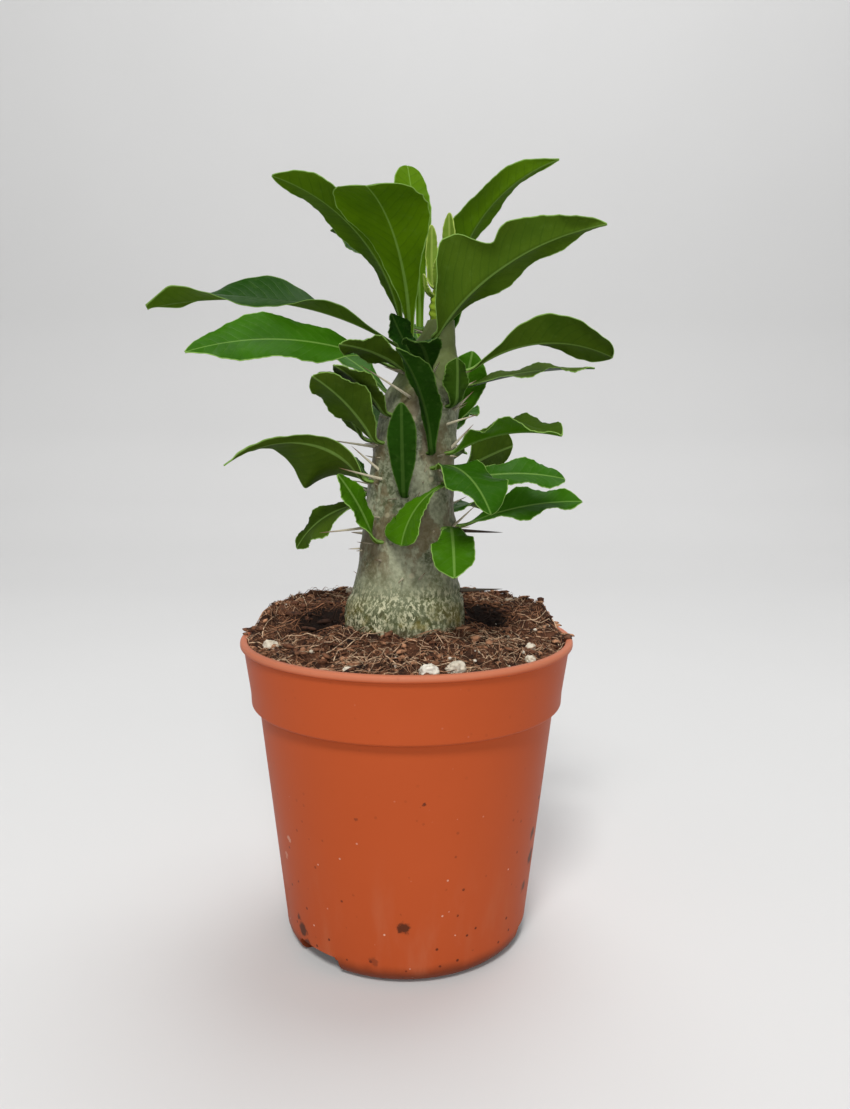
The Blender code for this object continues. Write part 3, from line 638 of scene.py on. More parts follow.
def pot_material():
    pot = Shader("pot_plastic")
    cloud, fine = pot.noise(18, 3), pot.noise(900, 2)
    pot.base(cloud, (0.42, 0.072, 0.018), (0.48, 0.086, 0.024))
    height = pot.add("ShaderNodeSeparateXYZ", {0: pot.place}).outputs["Z"]
    # Painted highlight: a pale band along the top of the rim.
    edge = pot.plus(height, pot.times(cloud, 0.0012))
    pot.paint(pot.step(edge, 0.1082, 0.1098, 0, 0.5), (0.6, 0.26, 0.16))
    low = pot.step(height, 0.055, 0.005)
    streak = pot.noise(1, place=pot.scaled(90, 90, 25))
    dust = pot.times(low, pot.step(streak, 0.48, 0.72))
    pot.paint(dust, (0.5, 0.26, 0.16), 0.16)
    splash = pot.noise(160, 3)
    dark_specks = pot.step(pot.cells(190), 0.13, 0.07)
    light_specks = pot.step(pot.cells(240, pot.scaled(1, 1, 1.07)), 0.11, 0.06)
    near_foot = pot.step(height, 0.075, 0.02, 0.12, 1)
    rare = pot.times(pot.step(splash, 0.4, 0.5), near_foot)
    pot.paint(dark_specks, (0.14, 0.028, 0.012), rare)
    rare = pot.times(pot.step(splash, 0.47, 0.4), near_foot)
    pot.paint(light_specks, (0.66, 0.42, 0.33), rare)
    foot = pot.step(pot.plus(height, pot.times(streak, 0.004)), 0.01, 0.005)
    pot.paint(foot, (0.09, 0.024, 0.012), 0.7)
    smear = pot.noise(480)
    for azimuth, mark_height, radius, softness, tint, share in POT_MARKS:
        on_wall = body_radius(mark_height) * direction(azimuth, 0) + (0, 0, mark_height)
        away = pot.from_point(on_wall)
        ragged = pot.plus(away, pot.times(smear, MARK_RAGGED * MM))
        reach = radius + MARK_OFFSET
        mask = pot.step(ragged, (reach + softness) * MM, reach * MM)
        pot.paint(mask, tint, share)
    worn = pot.plus(cloud, pot.times(dust, 0.8))
    roughness = pot.step(worn, 0.3, 1.3, 0.42, 0.62)
    relief = pot.plus(pot.times(fine, 0.3), pot.times(streak, 0.2))
    return pot.finish(roughness, relief, 0.08, 0.5, 0.08)


def build_pot():
    profile = pot_profile()
    points = [point for radius, height in profile for point in ring(radius, height, POT_SIDES)]
    faces = tube_faces(len(profile), POT_SIDES)
    pot = mesh_piece("pot_shell", points, faces, [pot_material()], "pot")
    cut_drains(pot)


# Stem

def stem_core(height):
    """Centre x and plain radius of the stem at each height."""
    knots = np.array(STEM_KNOTS)
    height = np.asarray(height, float)
    i = np.clip(np.searchsorted(knots[:, 0], height) - 1, 0, len(knots) - 2)
    a, b, c = knots[np.maximum(i - 1, 0)], knots[i], knots[i + 1]
    d = knots[np.minimum(i + 2, len(knots) - 1)]
    t = np.clip((height - b[..., 0]) / (c[..., 0] - b[..., 0]), 0, 1)[..., None]
    curve = 2 * b + (c - a) * t + (2 * a - 5 * b + 4 * c - d) * t ** 2 + (3 * b - a - 3 * c + d) * t ** 3
    return 0.5 * curve[..., 1], 0.5 * curve[..., 2]


# Height, azimuth and rise of each leaf seat and of each scar, the scars on a spiral
SCAR_CLIMB = (SCAR_HIGHEST - SCAR_LOWEST) / (SCAR_COUNT - 1)
STEM_BUMPS = [(leaf.height, leaf.seat, SEAT_RISE) for leaf in LEAVES]
STEM_BUMPS += [(SCAR_LOWEST + SCAR_CLIMB * i, GOLDEN_TURN * i, SCAR_RISE) for i in range(SCAR_COUNT)]


def bump_distance(height, azimuth, bump):
    """Distance over the stem's surface from the middle of a bump."""
    _, radius = stem_core(height)
    away = (azimuth - bump[1] + 180) % 360 - 180
    return np.hypot(np.radians(away) * radius, height - bump[0])


def stem_radius(height, azimuth):
    """Radius of the stem's surface, bumps included."""
    _, radius = stem_core(height)
    rise = 0
    for bump in STEM_BUMPS:
        rise = rise + bump[2] * np.exp(-(bump_distance(height, azimuth, bump) / BUMP_SPREAD) ** 2)
    above_soil = ease((height - SOIL_LINE - BUMPS_START) / BUMPS_REACH)
    return radius + above_soil * np.minimum(rise, BUMP_LIMIT)


def stem_point(height, azimuth, outward=0):
    """Point on the stem's surface, or outward of it."""
    centre_x, _ = stem_core(height)
    out = stem_radius(height, azimuth) + outward
    return np.array([centre_x, 0, height]) + out * direction(azimuth, 0)


def bark_relief(height, azimuth, radius):
    """Fine relief of the stem's skin: wrinkles, and a net of cracks and a crease near its foot."""
    turn = math.radians(azimuth)
    x, y = radius * math.cos(turn), radius * math.sin(turn)
    swell = noise.noise(Vector((x, y, height)) * 0.13)
    wrinkle = noise.noise(Vector((x * 0.5, y * 0.5, height * 0.9)) + Vector((9, 0, 0)))
    net = noise.noise(Vector((x * 0.9, y * 0.9, height * 0.5)) + Vector((0, 5, 0)))
    crack = max(1 - 2 * abs(net), 0) ** 5
    low = float(ease((CRACKED_BELOW - height) / 10))
    crease = math.exp(-((height - CREASE_HEIGHT - 1.6 * swell) / 1.3) ** 2)
    return 0.5 * swell + (0.14 + 0.16 * low) * wrinkle - (0.04 + 0.34 * low) * crack - 0.5 * crease


def bark_material():
    bark = Shader("stem_bark")
    height = bark.add("ShaderNodeSeparateXYZ", {0: bark.place}).outputs["Z"]
    broad = bark.noise(75, 4)
    fine = bark.noise(600, 4, 0.7)
    bark.base(bark.step(broad, 0.35, 0.65), (0.066, 0.08, 0.036), (0.27, 0.28, 0.18))
    bark.paint(bark.step(fine, 0.42, 0.6, 0, 0.45), (0.4, 0.42, 0.29))
    squat = bark.scaled(1, 1, 0.6)
    patch = bark.step(bark.noise(110, 5, 0.65, squat), 0.48, 0.59)
    patch = bark.times(patch, bark.step(height, 0.126, 0.142, 0.1, 0.75))
    bark.paint(patch, (0.115, 0.082, 0.036))
    bark.paint(bark.step(height, 0.138, 0.122), (0.085, 0.105, 0.028), 0.55)
    uneven = bark.step(bark.noise(140, 3), 0.38, 0.6, 0.45, 1)
    net = bark.noise(860, 3, 0.65, squat)
    pale = bark.times(bark.step(net, 0.5, 0.565), bark.step(height, 0.134, 0.12, 0.05, 0.95))
    bark.paint(pale, (0.66, 0.64, 0.43), uneven)
    gap = bark.times(bark.step(net, 0.48, 0.41), bark.step(height, 0.13, 0.119, 0.04, 0.9))
    bark.paint(gap, (0.034, 0.036, 0.01), uneven)
    stain = bark.step(bark.noise(95, 3), 0.5, 0.62)
    stain = bark.times(stain, bark.step(height, 0.128, 0.116, 0, 0.5))
    bark.paint(stain, (0.24, 0.19, 0.035))
    # Darker in a band just above the soil line.
    dark_above_soil = bark.step(bark.plus(height, bark.times(broad, 0.008)), 0.1215, 0.1155)
    bark.paint(dark_above_soil, (0.07, 0.036, 0.018), 0.75)
    bark.paint(bark.step(bark.value("knob"), 0.55, 0.9), (0.42, 0.38, 0.25), 0.55)
    bark.paint(bark.step(height, 0.192, 0.203), (0.12, 0.155, 0.042), 0.9)
    relief = bark.times(net, bark.step(height, 0.146, 0.122, 0.15, 1))
    relief = bark.plus(relief, bark.times(fine, 0.3))
    roughness = bark.step(broad, 0.2, 0.8, 0.42, 0.6)
    return bark.finish(roughness, relief, 0.5, 0.8)


def build_stem():
    heights = np.arange(STEM_FOOT, STEM_TOP + 0.01, STEM_RING_STEP)
    azimuths = np.arange(STEM_SIDES) * 360 / STEM_SIDES
    high, wide = np.meshgrid(heights, azimuths, indexing="ij")
    radii = stem_radius(high, wide)
    centre_x, _ = stem_core(high)
    nearest = np.full(high.shape, 99)
    for bump in STEM_BUMPS:
        nearest = np.minimum(nearest, bump_distance(high, wide, bump))
    relief = [bark_relief(h, a, r) for h, a, r in zip(high.ravel(), wide.ravel(), radii.ravel())]
    edge = ease((STEM_TOP - high) / STEM_TOP_FADE)
    radii = radii + np.array(relief).reshape(high.shape) * edge
    turns = np.radians(wide)
    points = np.stack([centre_x + radii * np.cos(turns), radii * np.sin(turns), high], -1).reshape(-1, 3)
    faces = tube_faces(len(heights), STEM_SIDES)
    knob = np.exp(-(nearest / KNOB_SPREAD) ** 2).ravel()
    mesh_piece("stem_body", points, faces, [bark_material()], "stem", {"knob": knob})


# Thorns

def spine_material():
    horn = Shader("spine_horn")
    along = horn.value("along")
    grain = horn.noise(500, 3)
    horn.base(grain, (0.62, 0.55, 0.38), (0.74, 0.68, 0.52))
    horn.paint(horn.step(along, 0.55, 1), (0.2, 0.1, 0.045))
    horn.paint(horn.step(along, 0.14, 0), (0.16, 0.13, 0.06))
    horn.paint(horn.value("dark"), (0.035, 0.022, 0.014))
    return horn.finish(0.45, grain, 0.06, 0.4)


def thorn_points(base, along, length, radius, bow):
    """Rings of points of a slender, slightly bowed needle."""
    across = np.cross(along, (0, 0, 1))
    across /= np.linalg.norm(across)
    other = np.cross(along, across)
    turns = np.arange(THORN_SIDES) * 2 * math.pi / THORN_SIDES
    rings = []
    for share in THORN_SHARES:
        reach = -THORN_ROOT + (length + THORN_ROOT) * share
        middle = base + reach * along + bow * length * share * share * other
        thick = radius * (1 - share) ** 0.75 + THORN_TIP
        for a in turns:
            rings.append(middle + thick * (math.cos(a) * across + math.sin(a) * other))
    return rings


def build_spines():
    draw = random.Random(SEED)
    spines = [(*thorn, THORN_RADIUS * (0.62 + 0.38 * thorn[5])) for thorn in THORNS]
    for height, azimuth, _ in STEM_BUMPS:
        for side in (-1, 1):
            away, lift, length, darkness = between(draw, (9, 14), (-10, 35), (2, 6.5), (0, 0.6))
            seat = azimuth + side * away
            azimuths = (seat, seat + side * SPINE_SPLAY)
            spines.append((height - SPINE_DROP, *azimuths, lift, length, darkness, SPINE_RADIUS))
    points, faces, along, dark = [], [], [], []
    for height, seat, azimuth, lift, length, darkness, radius in spines:
        first = len(points)
        base = stem_point(height, seat)
        bow = draw.uniform(-0.03, 0.03)
        points += thorn_points(base, direction(azimuth, lift), length, radius, bow)
        along += list(np.repeat(THORN_SHARES, THORN_SIDES))
        dark += [darkness] * (len(points) - first)
        faces += tube_faces(len(THORN_SHARES), THORN_SIDES, first)
    values = {"along": along, "dark": dark}
    mesh_piece("stem_spines", points, faces, [spine_material()], "stem", values)


# Soil

def soil_height(x, y):
    """Height of the soil's top: a mound round the stem, a heap behind it, lumps and two hollows."""
    out = np.hypot(x, y)
    mound = SOIL_MOUND * (1 - ease((out - SOIL_MOUND_START) / SOIL_MOUND_REACH))
    heap = SOIL_BACK_HEAP * ease((y - SOIL_BACK_HEAP_START) / SOIL_BACK_HEAP_REACH)
    rise = np.maximum(mound, heap) + 0.35 * np.minimum(mound, heap)
    rise = rise + 0.8 * np.sin(x / 3.1 + 1.3) * np.sin(y / 2.7) + 0.6 * np.sin(x / 1.9 - y / 2.3 + 0.6)
    for hollow_x, hollow_y, depth in (LEFT_HOLLOW, RIGHT_HOLLOW):
        rise = rise - depth * np.exp(-(np.hypot(x - hollow_x, y - hollow_y) / HOLLOW_SPREAD) ** 2)
    inside_rim = ease((inner_radius(SOIL_AT_RIM) - out) / SOIL_INSET_REACH)
    return SOIL_AT_RIM + inside_rim * rise


def hollow_sink_and_shade(x, y):
    """How far down in one of the two hollows a place is, 0 to 1. It sinks the soil there, and it sets the
    painted shade that darkens the soil, fibres, crumbs and chips in them.
    """
    depth = 0
    for hollow_x, hollow_y, _ in (LEFT_HOLLOW, RIGHT_HOLLOW):
        depth += math.exp(-(math.hypot(x - hollow_x, y - hollow_y) / HOLLOW_SHADE_SPREAD) ** 2)
    return min(1, HOLLOW_SHADE * depth)


def behind(y):
    """0 in the front part of the pot, 1 in the part behind."""
    return float(ease((y - BACK_START) / BACK_REACH))


def crumbly(x, y):
    """Height of the soil's top with its crumbs, its hollows, and what lies against the rim behind."""
    place = Vector((x, y, 0))
    rough = noise.noise(place * 0.35) + 0.6 * noise.noise(place * 0.9) + 0.35 * noise.noise(place * 2.1)
    heap = SIDE_HEAP * behind(y) * float(ease((math.hypot(x, y) - SIDE_HEAP_START) / SIDE_HEAP_REACH))
    sunk = CRUMBLE_SINK + HOLLOW_SINK * hollow_sink_and_shade(x, y)
    return float(soil_height(x, y)) + heap + CRUMBLE * rough - sunk


def soil_material():
    earth = Shader("soil_earth")
    broad = earth.noise(130, 5, 0.7)
    fine = earth.noise(800, 4, 0.7)
    earth.base(earth.step(broad, 0.35, 0.65), (0.02, 0.008, 0.005), (0.13, 0.052, 0.026))
    earth.paint(earth.step(fine, 0.55, 0.75), (0.3, 0.15, 0.08))
    # Painted shade: the soil is darkened to near-black in the two hollows.
    earth.paint(earth.step(earth.value("painted_hollow_shade"), 0.1, 0.7, 0, 0.92), (0.006, 0.004, 0.003))
    return earth.finish(0.95, earth.plus(broad, fine), 1.2)


def scrap_material(name, shades, roughness=0.85):
    """Pieces whose colour goes through the shades by their tone, with some grain."""
    scrap = Shader(name)
    grain = scrap.noise(600, 3)
    scrap.ramp(scrap.value("tone"), shades)
    scrap.paint(scrap.step(grain, 0.45, 0.7), shades[0])
    return scrap.finish(roughness, grain, 0.25, 0.8)


def build_soil_bed():
    hole_x, hole_radius = stem_core(SOIL_LINE)
    hole_radius = float(hole_radius) - SOIL_HOLE_INSET
    edge = float(inner_radius(SOIL_AT_RIM)) - SOIL_GAP
    inner = ring(hole_radius, SOIL_SKIRT, SOIL_SIDES, hole_x)
    outer = ring(edge, SOIL_SKIRT, SOIL_SIDES)
    points = ring(hole_radius, STEM_FOOT, SOIL_SIDES, hole_x) + inner
    for i in range(SOIL_RINGS + 1):
        share = i / SOIL_RINGS
        for near, far in zip(inner, outer):
            x, y = (near[k] * (1 - share) + far[k] * share for k in (0, 1))
            points.append((x, y, crumbly(x, y)))
    for height in (SOIL_SKIRT, BODY_TOP_HEIGHT, FOOT_ROUND):
        points += ring(float(inner_radius(height)) - SOIL_GAP, height, SOIL_SIDES)
    points += ring(body_radius(FOOT_ROUND) - FOOT_ROUND, WALL + SOIL_GAP, SOIL_SIDES)
    rings = len(points) // SOIL_SIDES
    faces = [tuple(reversed(face)) for face in tube_faces(rings, SOIL_SIDES)]
    values = {"painted_hollow_shade": [hollow_sink_and_shade(x, y) for x, y, _ in points]}
    mesh_piece("soil_bed", points, faces, [soil_material()], "soil", values)


def scattered(draw, inner=SOIL_INNER, outer=SOIL_OUTER - 1):
    """A random place on the soil."""
    out = math.sqrt(draw.uniform(inner ** 2, outer ** 2))
    turn = draw.uniform(0, 2 * math.pi)
    return out * math.cos(turn), out * math.sin(turn)


def on_soil(x, y):
    """The place kept off the stem, and inside the rim in front or on it behind."""
    out = math.hypot(x, y)
    kept = min(max(out, SOIL_INNER - 1), SOIL_OUTER - RIM_GAP + RIM_OVERHANG * behind(y))
    return x * kept / out, y * kept / out


def build_fibres():
    draw = random.Random(SEED + 1)
    sides, steps = 3, 8
    up = np.array([0, 0, 1])
    points, faces, tones = [], [], []
    for i in range(FIBRE_COUNT):
        form = LONG_FIBRE if i < FIBRE_COUNT * LONG_FIBRE_SHARE else SHORT_FIBRE
        x, y = scattered(draw)
        heading = draw.uniform(0, 2 * math.pi)
        length, curl, arch, radius, tone, tilt = between(draw, *form)
        first = len(points)
        for step in range(steps + 1):
            share = step / steps
            px, py = on_soil(x, y)
            lift = 0.25 + arch * math.sin(math.pi * share) * tilt + 0.3 * math.sin(5 * share + i)
            middle = np.array([px, py, crumbly(px, py) + lift])
            side = np.array([-math.sin(heading), math.cos(heading), 0])
            thick = radius * (1 - 0.75 * share)
            for k in range(sides):
                a = 2 * math.pi * k / sides
                points.append(middle + thick * (math.cos(a) * side + math.sin(a) * up))
                # Painted shade: fibres are darker in the two hollows.
                tones.append(tone * (1 - hollow_sink_and_shade(px, py)))
            x += length / steps * math.cos(heading)
            y += length / steps * math.sin(heading)
            heading += curl / steps + draw.uniform(-0.25, 0.25)
        faces += tube_faces(steps + 1, sides, first)
    shades = ((0.022, 0.009, 0.005), (0.38, 0.17, 0.085), (0.84, 0.6, 0.39))
    material = scrap_material("soil_fibre", shades)
    mesh_piece("soil_fibres", points, faces, [material], "soil", {"tone": tones})


def lump(draw, size, detail, stretch):
    """Points and faces of an uneven lump about the origin."""
    work = bmesh.new()
    bmesh.ops.create_icosphere(work, subdivisions=detail, radius=1)
    *shift, spin, tip = between(draw, (0, 50), (0, 50), (0, 50), (0, 6.3), (-0.6, 0.6))
    shift = Vector(shift)
    turn = Matrix.Rotation(spin, 3, "Z") @ Matrix.Rotation(tip, 3, "X")
    points = []
    for v in work.verts:
        rough = noise.noise(v.co * 1.6 + shift) + 0.5 * noise.noise(v.co * 4 + shift)
        uneven = 1 + LUMP_ROUGHNESS * rough
        points.append(turn @ Vector([c * uneven * size * s for c, s in zip(v.co, stretch)]))
    faces = [tuple(v.index for v in f.verts) for f in work.faces]
    work.free()
    return points, faces


def scatter_lumps(name, lumps, material):
    """One piece from lumps, each with its place, size, detail, stretch and tone."""
    draw = random.Random(SEED + 2)
    points, faces, tones = [], [], []
    for place, size, detail, stretch, tone in lumps:
        own_points, own_faces = lump(draw, size, detail, stretch)
        first = len(points)
        points += [tuple(p + Vector(place)) for p in own_points]
        faces += [tuple(first + k for k in face) for face in own_faces]
        tones += [tone] * len(own_points)
    mesh_piece(name, points, faces, [material], "soil", {"tone": tones})


def build_crumbs():
    draw = random.Random(SEED + 3)
    lumps = []
    for _ in range(CRUMB_COUNT):
        x, y = scattered(draw)
        size = 0.35 + 1.1 * draw.random() ** 2.5
        stretch = between(draw, (0.6, 1.7), (0.5, 1.2), (0.4, 0.9))
        place = (x, y, crumbly(x, y) + 0.2 * size)
        # Painted shade: crumbs are darker in the two hollows.
        lumps.append((place, size, 1, stretch, draw.random() * (1 - 0.9 * hollow_sink_and_shade(x, y))))
    for i in range(CHIP_COUNT):
        x, y = on_soil(*scattered(draw, *CHIPS_AT_RIM)) if i % 3 == 0 else scattered(draw)
        size, *stretch, tone = between(draw, (0.9, 1.9), (1.2, 2.2), (0.5, 0.9), (0.3, 0.6), (0.3, 1))
        # Painted shade: chips are darker in the two hollows.
        tone *= 1 - 0.8 * hollow_sink_and_shade(x, y)
        lumps.append(((x, y, crumbly(x, y) + 0.5 * size), size, 2, stretch, tone))
    shades = ((0.014, 0.007, 0.005), (0.16, 0.064, 0.032), (0.48, 0.24, 0.13))
    scatter_lumps("soil_crumbs", lumps, scrap_material("soil_crumb", shades))


def build_perlite():
    draw = random.Random(SEED + 4)
    lumps = []
    for azimuth, distance, size in GRAINS:
        x, y, _ = distance * direction(azimuth, 0)
        place = (x, y, float(soil_height(x, y)) + 0.2 * size)
        lumps.append((place, size, 4, (1, 0.9, 0.75), draw.random()))
    for _ in range(SPECK_COUNT):
        x, y = scattered(draw)
        size = 0.25 + 0.7 * draw.random() ** 3
        lumps.append(((x, y, crumbly(x, y) + 0.3), size, 2, (1, 0.9, 0.8), draw.random()))
    shades = ((0.46, 0.38, 0.28), (0.72, 0.65, 0.53), (0.84, 0.79, 0.69))
    scatter_lumps("soil_perlite", lumps, scrap_material("perlite", shades, 0.8))


# Leaves

def leaf_frames(leaf, start):
    """Shares of the length, and the midrib's points, sideways and upper directions at them."""
    t = np.linspace(0, 1, RIB_STEPS + 1)
    past_elbow = ease(t * leaf.length / ELBOW)
    lift = leaf.rise + (leaf.drop - leaf.rise) * t ** leaf.bend
    lift = np.radians(ROOT_LIFT + (lift - ROOT_LIFT) * past_elbow)
    turn_by = (leaf.azimuth - leaf.seat + 180) % 360 - 180
    turn = np.radians(leaf.seat + turn_by * past_elbow)
    along = np.stack([np.cos(lift) * np.cos(turn), np.cos(lift) * np.sin(turn), np.sin(lift)], -1)
    side = np.stack([-np.sin(turn), np.cos(turn), np.zeros_like(turn)], -1)
    upper = np.cross(along, side)
    roll = np.radians(leaf.roll * ease(t / 0.4) + leaf.twist * ease((t - 0.3) / 0.5))
    cos_roll, sin_roll = np.cos(roll)[:, None], np.sin(roll)[:, None]
    side, upper = side * cos_roll + upper * sin_roll, upper * cos_roll - side * sin_roll
    moves = (along[1:] + along[:-1]) * (0.5 * leaf.length / RIB_STEPS)
    rib = start + np.vstack([np.zeros(3), np.cumsum(moves, 0)])
    return t, rib, side, upper


def leaf_sheet(leaf, order, start, t, places):
    """Points of the leaf's middle sheet at shares t of its length and places -1 to 1 across it, and
    the half widths of the blade there."""
    fine, *rows = leaf_frames(leaf, start)
    rib, side, upper = [np.stack([np.interp(t, fine, row[:, k]) for k in range(3)], -1) for row in rows]
    u = np.clip((t - STALK_SHARE) / (1 - STALK_SHARE), 0, 1)
    widest = leaf.rising / (leaf.rising + leaf.point)
    blade = (u / widest) ** leaf.rising * ((1 - u) / (1 - widest)) ** leaf.point
    calm = ease((t - 0.12) / 0.3) * (0.35 + 0.65 * ease((1 - t) / 0.12))
    left, right = leaf.phase or ((order * 0.382) % 1, (order * 0.618 + 0.21) % 1)
    grid = np.zeros((len(t), len(places), 3))
    halves = np.zeros((len(t), len(places)))
    for j, place in enumerate(places):
        out = abs(place)
        wave = 2 * np.pi * (leaf.waves * t + (left if place > 0 else right))
        small = 0.1 * np.sin(4.3 * wave + order) + 0.06 * np.sin(9.7 * wave + 2 * order)
        broad = leaf.width / 2 * (1 + leaf.lean * np.sign(place)) - STALK_HALF_WIDTH
        ripple = leaf.ripple * np.sin(wave + 1.5) + 0.012 * np.sin(5.1 * wave + order)
        half = broad * blade * (1 + ripple)
        for dent_side, share, depth, reach in leaf.dents:
            if dent_side * place > 0:
                half = half * (1 - depth * np.exp(-((t - share) / reach) ** 2))
        half = half + STALK_HALF_WIDTH * np.sqrt(1 - t) + EDGE_HALF_WIDTH
        fold = np.radians(leaf.cup * (1 - 0.45 * out)) * ease(t / 0.25)
        lift = half * out * np.sin(fold) + leaf.wave * calm * out ** 2 * np.sin(wave)
        lift = lift + small * calm * out ** 3 * 1.6
        grid[:, j] = rib + (half * place * np.cos(fold))[:, None] * side + lift[:, None] * upper
        halves[:, j] = half
    return grid, halves


def leaf_start(leaf):
    """Start of a leaf's midrib, where the whole end of its stalk is just clear of the stem."""
    below = stem_radius(leaf.height - STALK_THICKNESS / 2, leaf.seat)
    slant = below - stem_radius(leaf.height, leaf.seat)
    return stem_point(leaf.height, leaf.seat, SEAT_GAP + max(float(slant), 0))


def leaf_mesh(leaf, order, start, grid):
    """Points, faces and named values of a leaf with an upper face, an underside and a rounded edge."""
    stations, count = grid
    t = 1 - (1 - np.arange(stations) / (stations - 1)) ** TIP_CROWDING
    places = np.sin(np.linspace(-np.pi / 2, np.pi / 2, count) * EDGE_CROWDING)
    places /= math.sin(np.pi / 2 * EDGE_CROWDING)
    sheet, halves = leaf_sheet(leaf, order, start, t, places)
    normals = np.cross(np.gradient(sheet, axis=0), np.gradient(sheet, axis=1))
    normals /= np.linalg.norm(normals, axis=2)[:, :, None]
    stalk = (1 - ease(t * leaf.length / STALK_FADE))[:, None]
    rib = np.exp(-(places[None, :] * halves / RIB_SPREAD) ** 2) * (1 - 0.7 * t)[:, None]
    thickness = EDGE_THICKNESS + (RIB_THICKNESS - EDGE_THICKNESS) * rib
    round_stalk = STALK_THICKNESS * np.sqrt(np.clip(1 - 0.92 * places ** 2, 0, 1))[None, :]
    thickness = thickness + (round_stalk - thickness) * stalk
    thickness = thickness * np.sqrt(np.clip(1 - 0.85 * np.abs(places) ** 14, 0, 1))[None, :]
    half = 0.5 * thickness[:, :, None] * normals
    groove = (RIB_GROOVE * rib * (1 - stalk))[:, :, None] * normals
    upper, under = sheet + half - groove, sheet - half - groove
    sunk = STALK_SUNK * direction(leaf.seat, ROOT_LIFT)
    upper, under = np.concatenate([upper[:1] - sunk, upper]), np.concatenate([under[:1] - sunk, under])
    along = np.concatenate([[0], t * leaf.length])[:, None] * np.ones(count)
    halves = np.concatenate([halves[:1], halves])
    across = places[None, :] * halves
    rows = stations + 1
    below = rows * count
    faces, choice = [], []
    for i in range(rows - 1):
        for j in range(count - 1):
            a = i * count + j
            corners = (a, a + 1, a + count + 1, a + count)
            faces.append(corners)
            faces.append(tuple(below + k for k in reversed(corners)))
            choice += [0, 1]
    rim = list(range(count))
    rim += [i * count + count - 1 for i in range(1, rows)]
    rim += [below - 1 - j for j in range(1, count)]
    rim += [i * count for i in range(rows - 2, 0, -1)]
    for k, a in enumerate(rim):
        b = rim[(k + 1) % len(rim)]
        faces.append((a, below + a, below + b, b))
        choice.append(0)
    points = np.concatenate([upper.reshape(-1, 3), under.reshape(-1, 3)])
    if leaf.flipped:
        choice = [1 - side for side in choice]
    values = {
        "along": np.tile(along.ravel(), 2),
        "across": np.tile(np.abs(across).ravel(), 2),
        "inset": np.tile((halves - np.abs(across)).ravel(), 2),
        "look": np.repeat(leaf.look[::-1] if leaf.flipped else leaf.look, below),
        "part": np.full(2 * below, (order * 0.618) % 1),
    }
    return points, faces, values, choice


def leaf_material(name, shades, pale, under):
    """One face of a blade, with its midrib, side veins and margin. The shades go from dull to bright,
    and pale is the colour of the midrib and the margin."""
    blade = Shader(name)
    along, across, inset = blade.value("along"), blade.value("across"), blade.value("inset")
    look, part = blade.value("look"), blade.value("part")
    drift = blade.noise(60, 3)
    fine = blade.noise(420, 3, 0.65)
    # The look takes the colour through the shades, partly as painted light and shade.
    blade.ramp(look, shades)
    blade.paint(blade.step(drift, 0.35, 0.75, 0, 0.35), shades[0])
    bowed = blade.times(across, VEIN_SLANT)
    bowed = blade.plus(bowed, blade.times(blade.math("POWER", across, 2), VEIN_BOW))
    run = blade.math("DIVIDE", blade.minus(along, bowed), VEIN_PITCH)
    run = blade.plus(run, blade.plus(part, blade.times(drift, 0.9)))
    off_vein = blade.math("ABSOLUTE", blade.minus(blade.math("FRACT", run), 0.5))
    blade_only = blade.step(along, 8, 16)
    vein = blade.times(blade.step(off_vein, 0.09, 0.02), blade.step(inset, 0.4, 3, 0.1, 1))
    vein = blade.times(vein, blade_only)
    vein_tint, vein_share = (shades[0], 0.2) if under else (pale, 0.03)
    blade.paint(vein, vein_tint, vein_share)
    rib_reach = blade.step(along, 0, 70, 0.62, 0.2)
    rib = blade.step(blade.minus(across, rib_reach), 0.16, -0.22)
    rib_share = blade.step(look, 0, 0.4, 0.1, 0.42)
    blade.paint(rib, pale, rib_share)
    ragged = blade.plus(inset, blade.times(fine, 0.35))
    margin_share = blade.step(look, 0, 0.4, 0.25, 0.9)
    blade.paint(blade.step(ragged, 0.6, 0.28), pale, margin_share)
    blade.paint(blade.step(fine, 0.5, 0.8, 0, 0.06), pale)
    puff = blade.times(blade.step(off_vein, 0, 0.5, 0, 0.2), blade_only)
    relief = blade.minus(blade.times(fine, 0.25), blade.times(vein, 0.2))
    relief = blade.plus(relief, puff)
    roughness = blade.plus(0.55 if under else 0.32, blade.times(fine, 0.16))
    return blade.finish(roughness, relief, 0.28, 0.6, LEAF_GLOSS)


def leaf_materials(first, upper, lower, pale):
    """Materials of the upper face and of the underside."""
    return [
        leaf_material(first + "_upper", upper, pale, False),
        leaf_material(first + "_under", lower, pale, True),
    ]


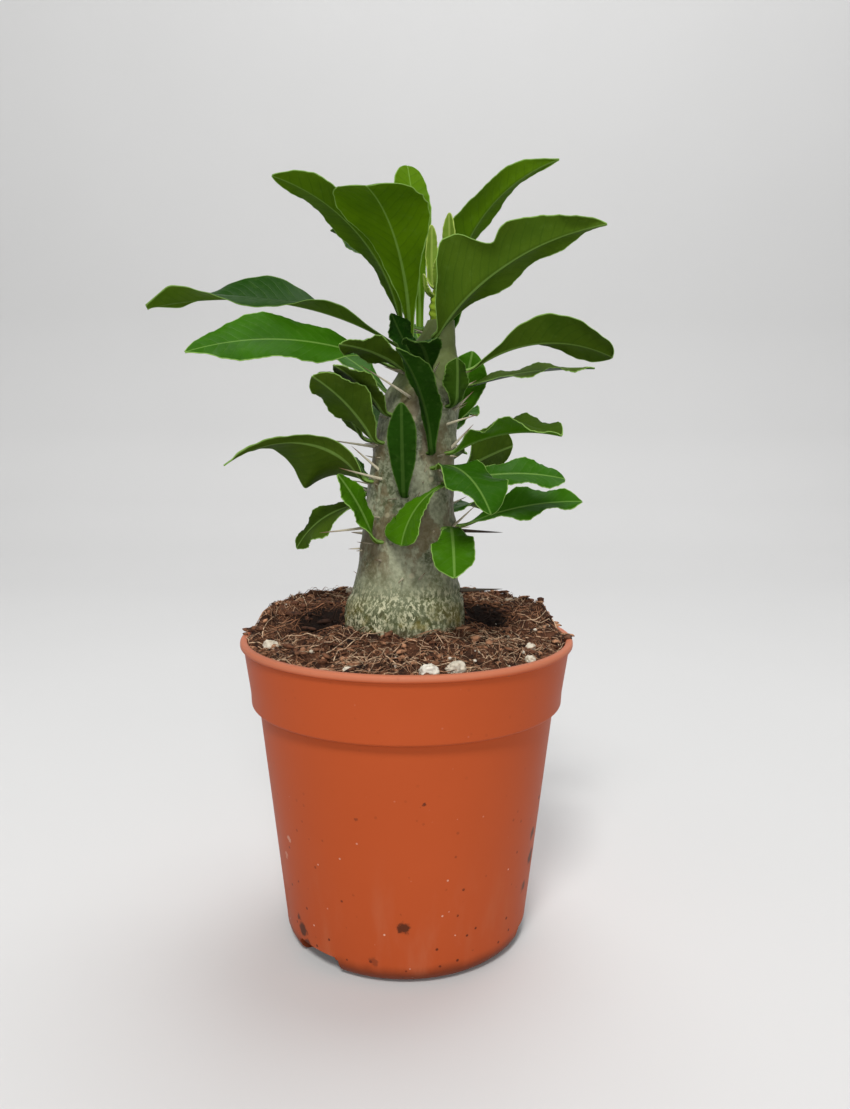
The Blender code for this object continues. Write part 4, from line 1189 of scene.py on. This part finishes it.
def build_leaves():
    # The underside's brightest shade, a glowing yellow-green, is painted light shining through the blade;
    # the duller shades also stand for painted shade on leaves in shade.
    upper = ((0.008, 0.036, 0.002), (0.029, 0.112, 0.003), (0.057, 0.168, 0.003))
    lower = ((0.012, 0.046, 0.002), (0.05, 0.09, 0.006), (0.078, 0.168, 0.001))
    pale = (0.24, 0.4, 0.09)
    materials = leaf_materials("leaf", upper, lower, pale)
    for order, leaf in enumerate(LEAVES):
        grid = SMALL_LEAF_GRID if leaf.width < SMALL_LEAF_WIDTH else LEAF_GRID
        points, faces, values, choice = leaf_mesh(leaf, order, leaf_start(leaf), grid)
        name, node = "blade_" + leaf.name, "leaf_" + leaf.name
        mesh_piece(name, points, faces, materials, node, values, choice)


# Growing tip

def tip_core(height):
    """Centre x and radius of the bud at a height above the stem's top."""
    share = height / TIP_HEIGHT
    stem_x = float(stem_core(STEM_TOP)[0])
    centre_x = stem_x + (TIP_CENTRE_X - stem_x) * share
    return centre_x, TIP_RADIUS * (1 - 0.72 * share ** 2) * (0.86 + 0.14 * math.sin(3 * share + 0.3))


def build_growing_tip():
    shades = ((0.1, 0.18, 0.02), (0.18, 0.28, 0.03), (0.26, 0.38, 0.03))
    pale = (0.42, 0.52, 0.12)
    materials = leaf_materials("young", shades, shades, pale)
    points = []
    for i in range(TIP_RINGS):
        height = TIP_HEIGHT * i / (TIP_RINGS - 1)
        centre_x, radius = tip_core(height)
        for j in range(TIP_SIDES):
            a = 2 * math.pi * j / TIP_SIDES
            scale = 0.45 * math.sin(5 * a + height * 1.1) * math.sin(height * 1.3 + 2 * math.sin(a))
            r = radius + scale * float(ease(height / 2)) * float(ease((TIP_HEIGHT - height) / 2))
            points.append((centre_x + r * math.cos(a), r * math.sin(a), STEM_TOP - TIP_SUNK + height))
    faces = tube_faces(TIP_RINGS, TIP_SIDES)
    values = {"along": 0, "across": 4, "inset": 4, "look": 0.9, "part": 0}
    values = {key: np.full(len(points), value) for key, value in values.items()}
    mesh_piece("growing_bud", points, faces, materials, "growing_tip", values)
    base = STEM_TOP + YOUNG_LEAF_BASE
    for order, leaf in enumerate(YOUNG_LEAVES):
        centre_x, radius = tip_core(leaf.height - base)
        outward = (radius - YOUNG_LEAF_SUNK) * direction(leaf.seat, 0)
        start = outward + (centre_x, 0, leaf.height)
        points, faces, values, choice = leaf_mesh(leaf, order, start, YOUNG_LEAF_GRID)
        mesh_piece(leaf.name, points, faces, materials, "growing_tip", values, choice)


def main():
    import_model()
    build_camera()
    build_stage()
    build_pot()
    build_soil_bed()
    build_fibres()
    build_crumbs()
    build_perlite()
    build_stem()
    build_spines()
    build_leaves()
    build_growing_tip()


main()
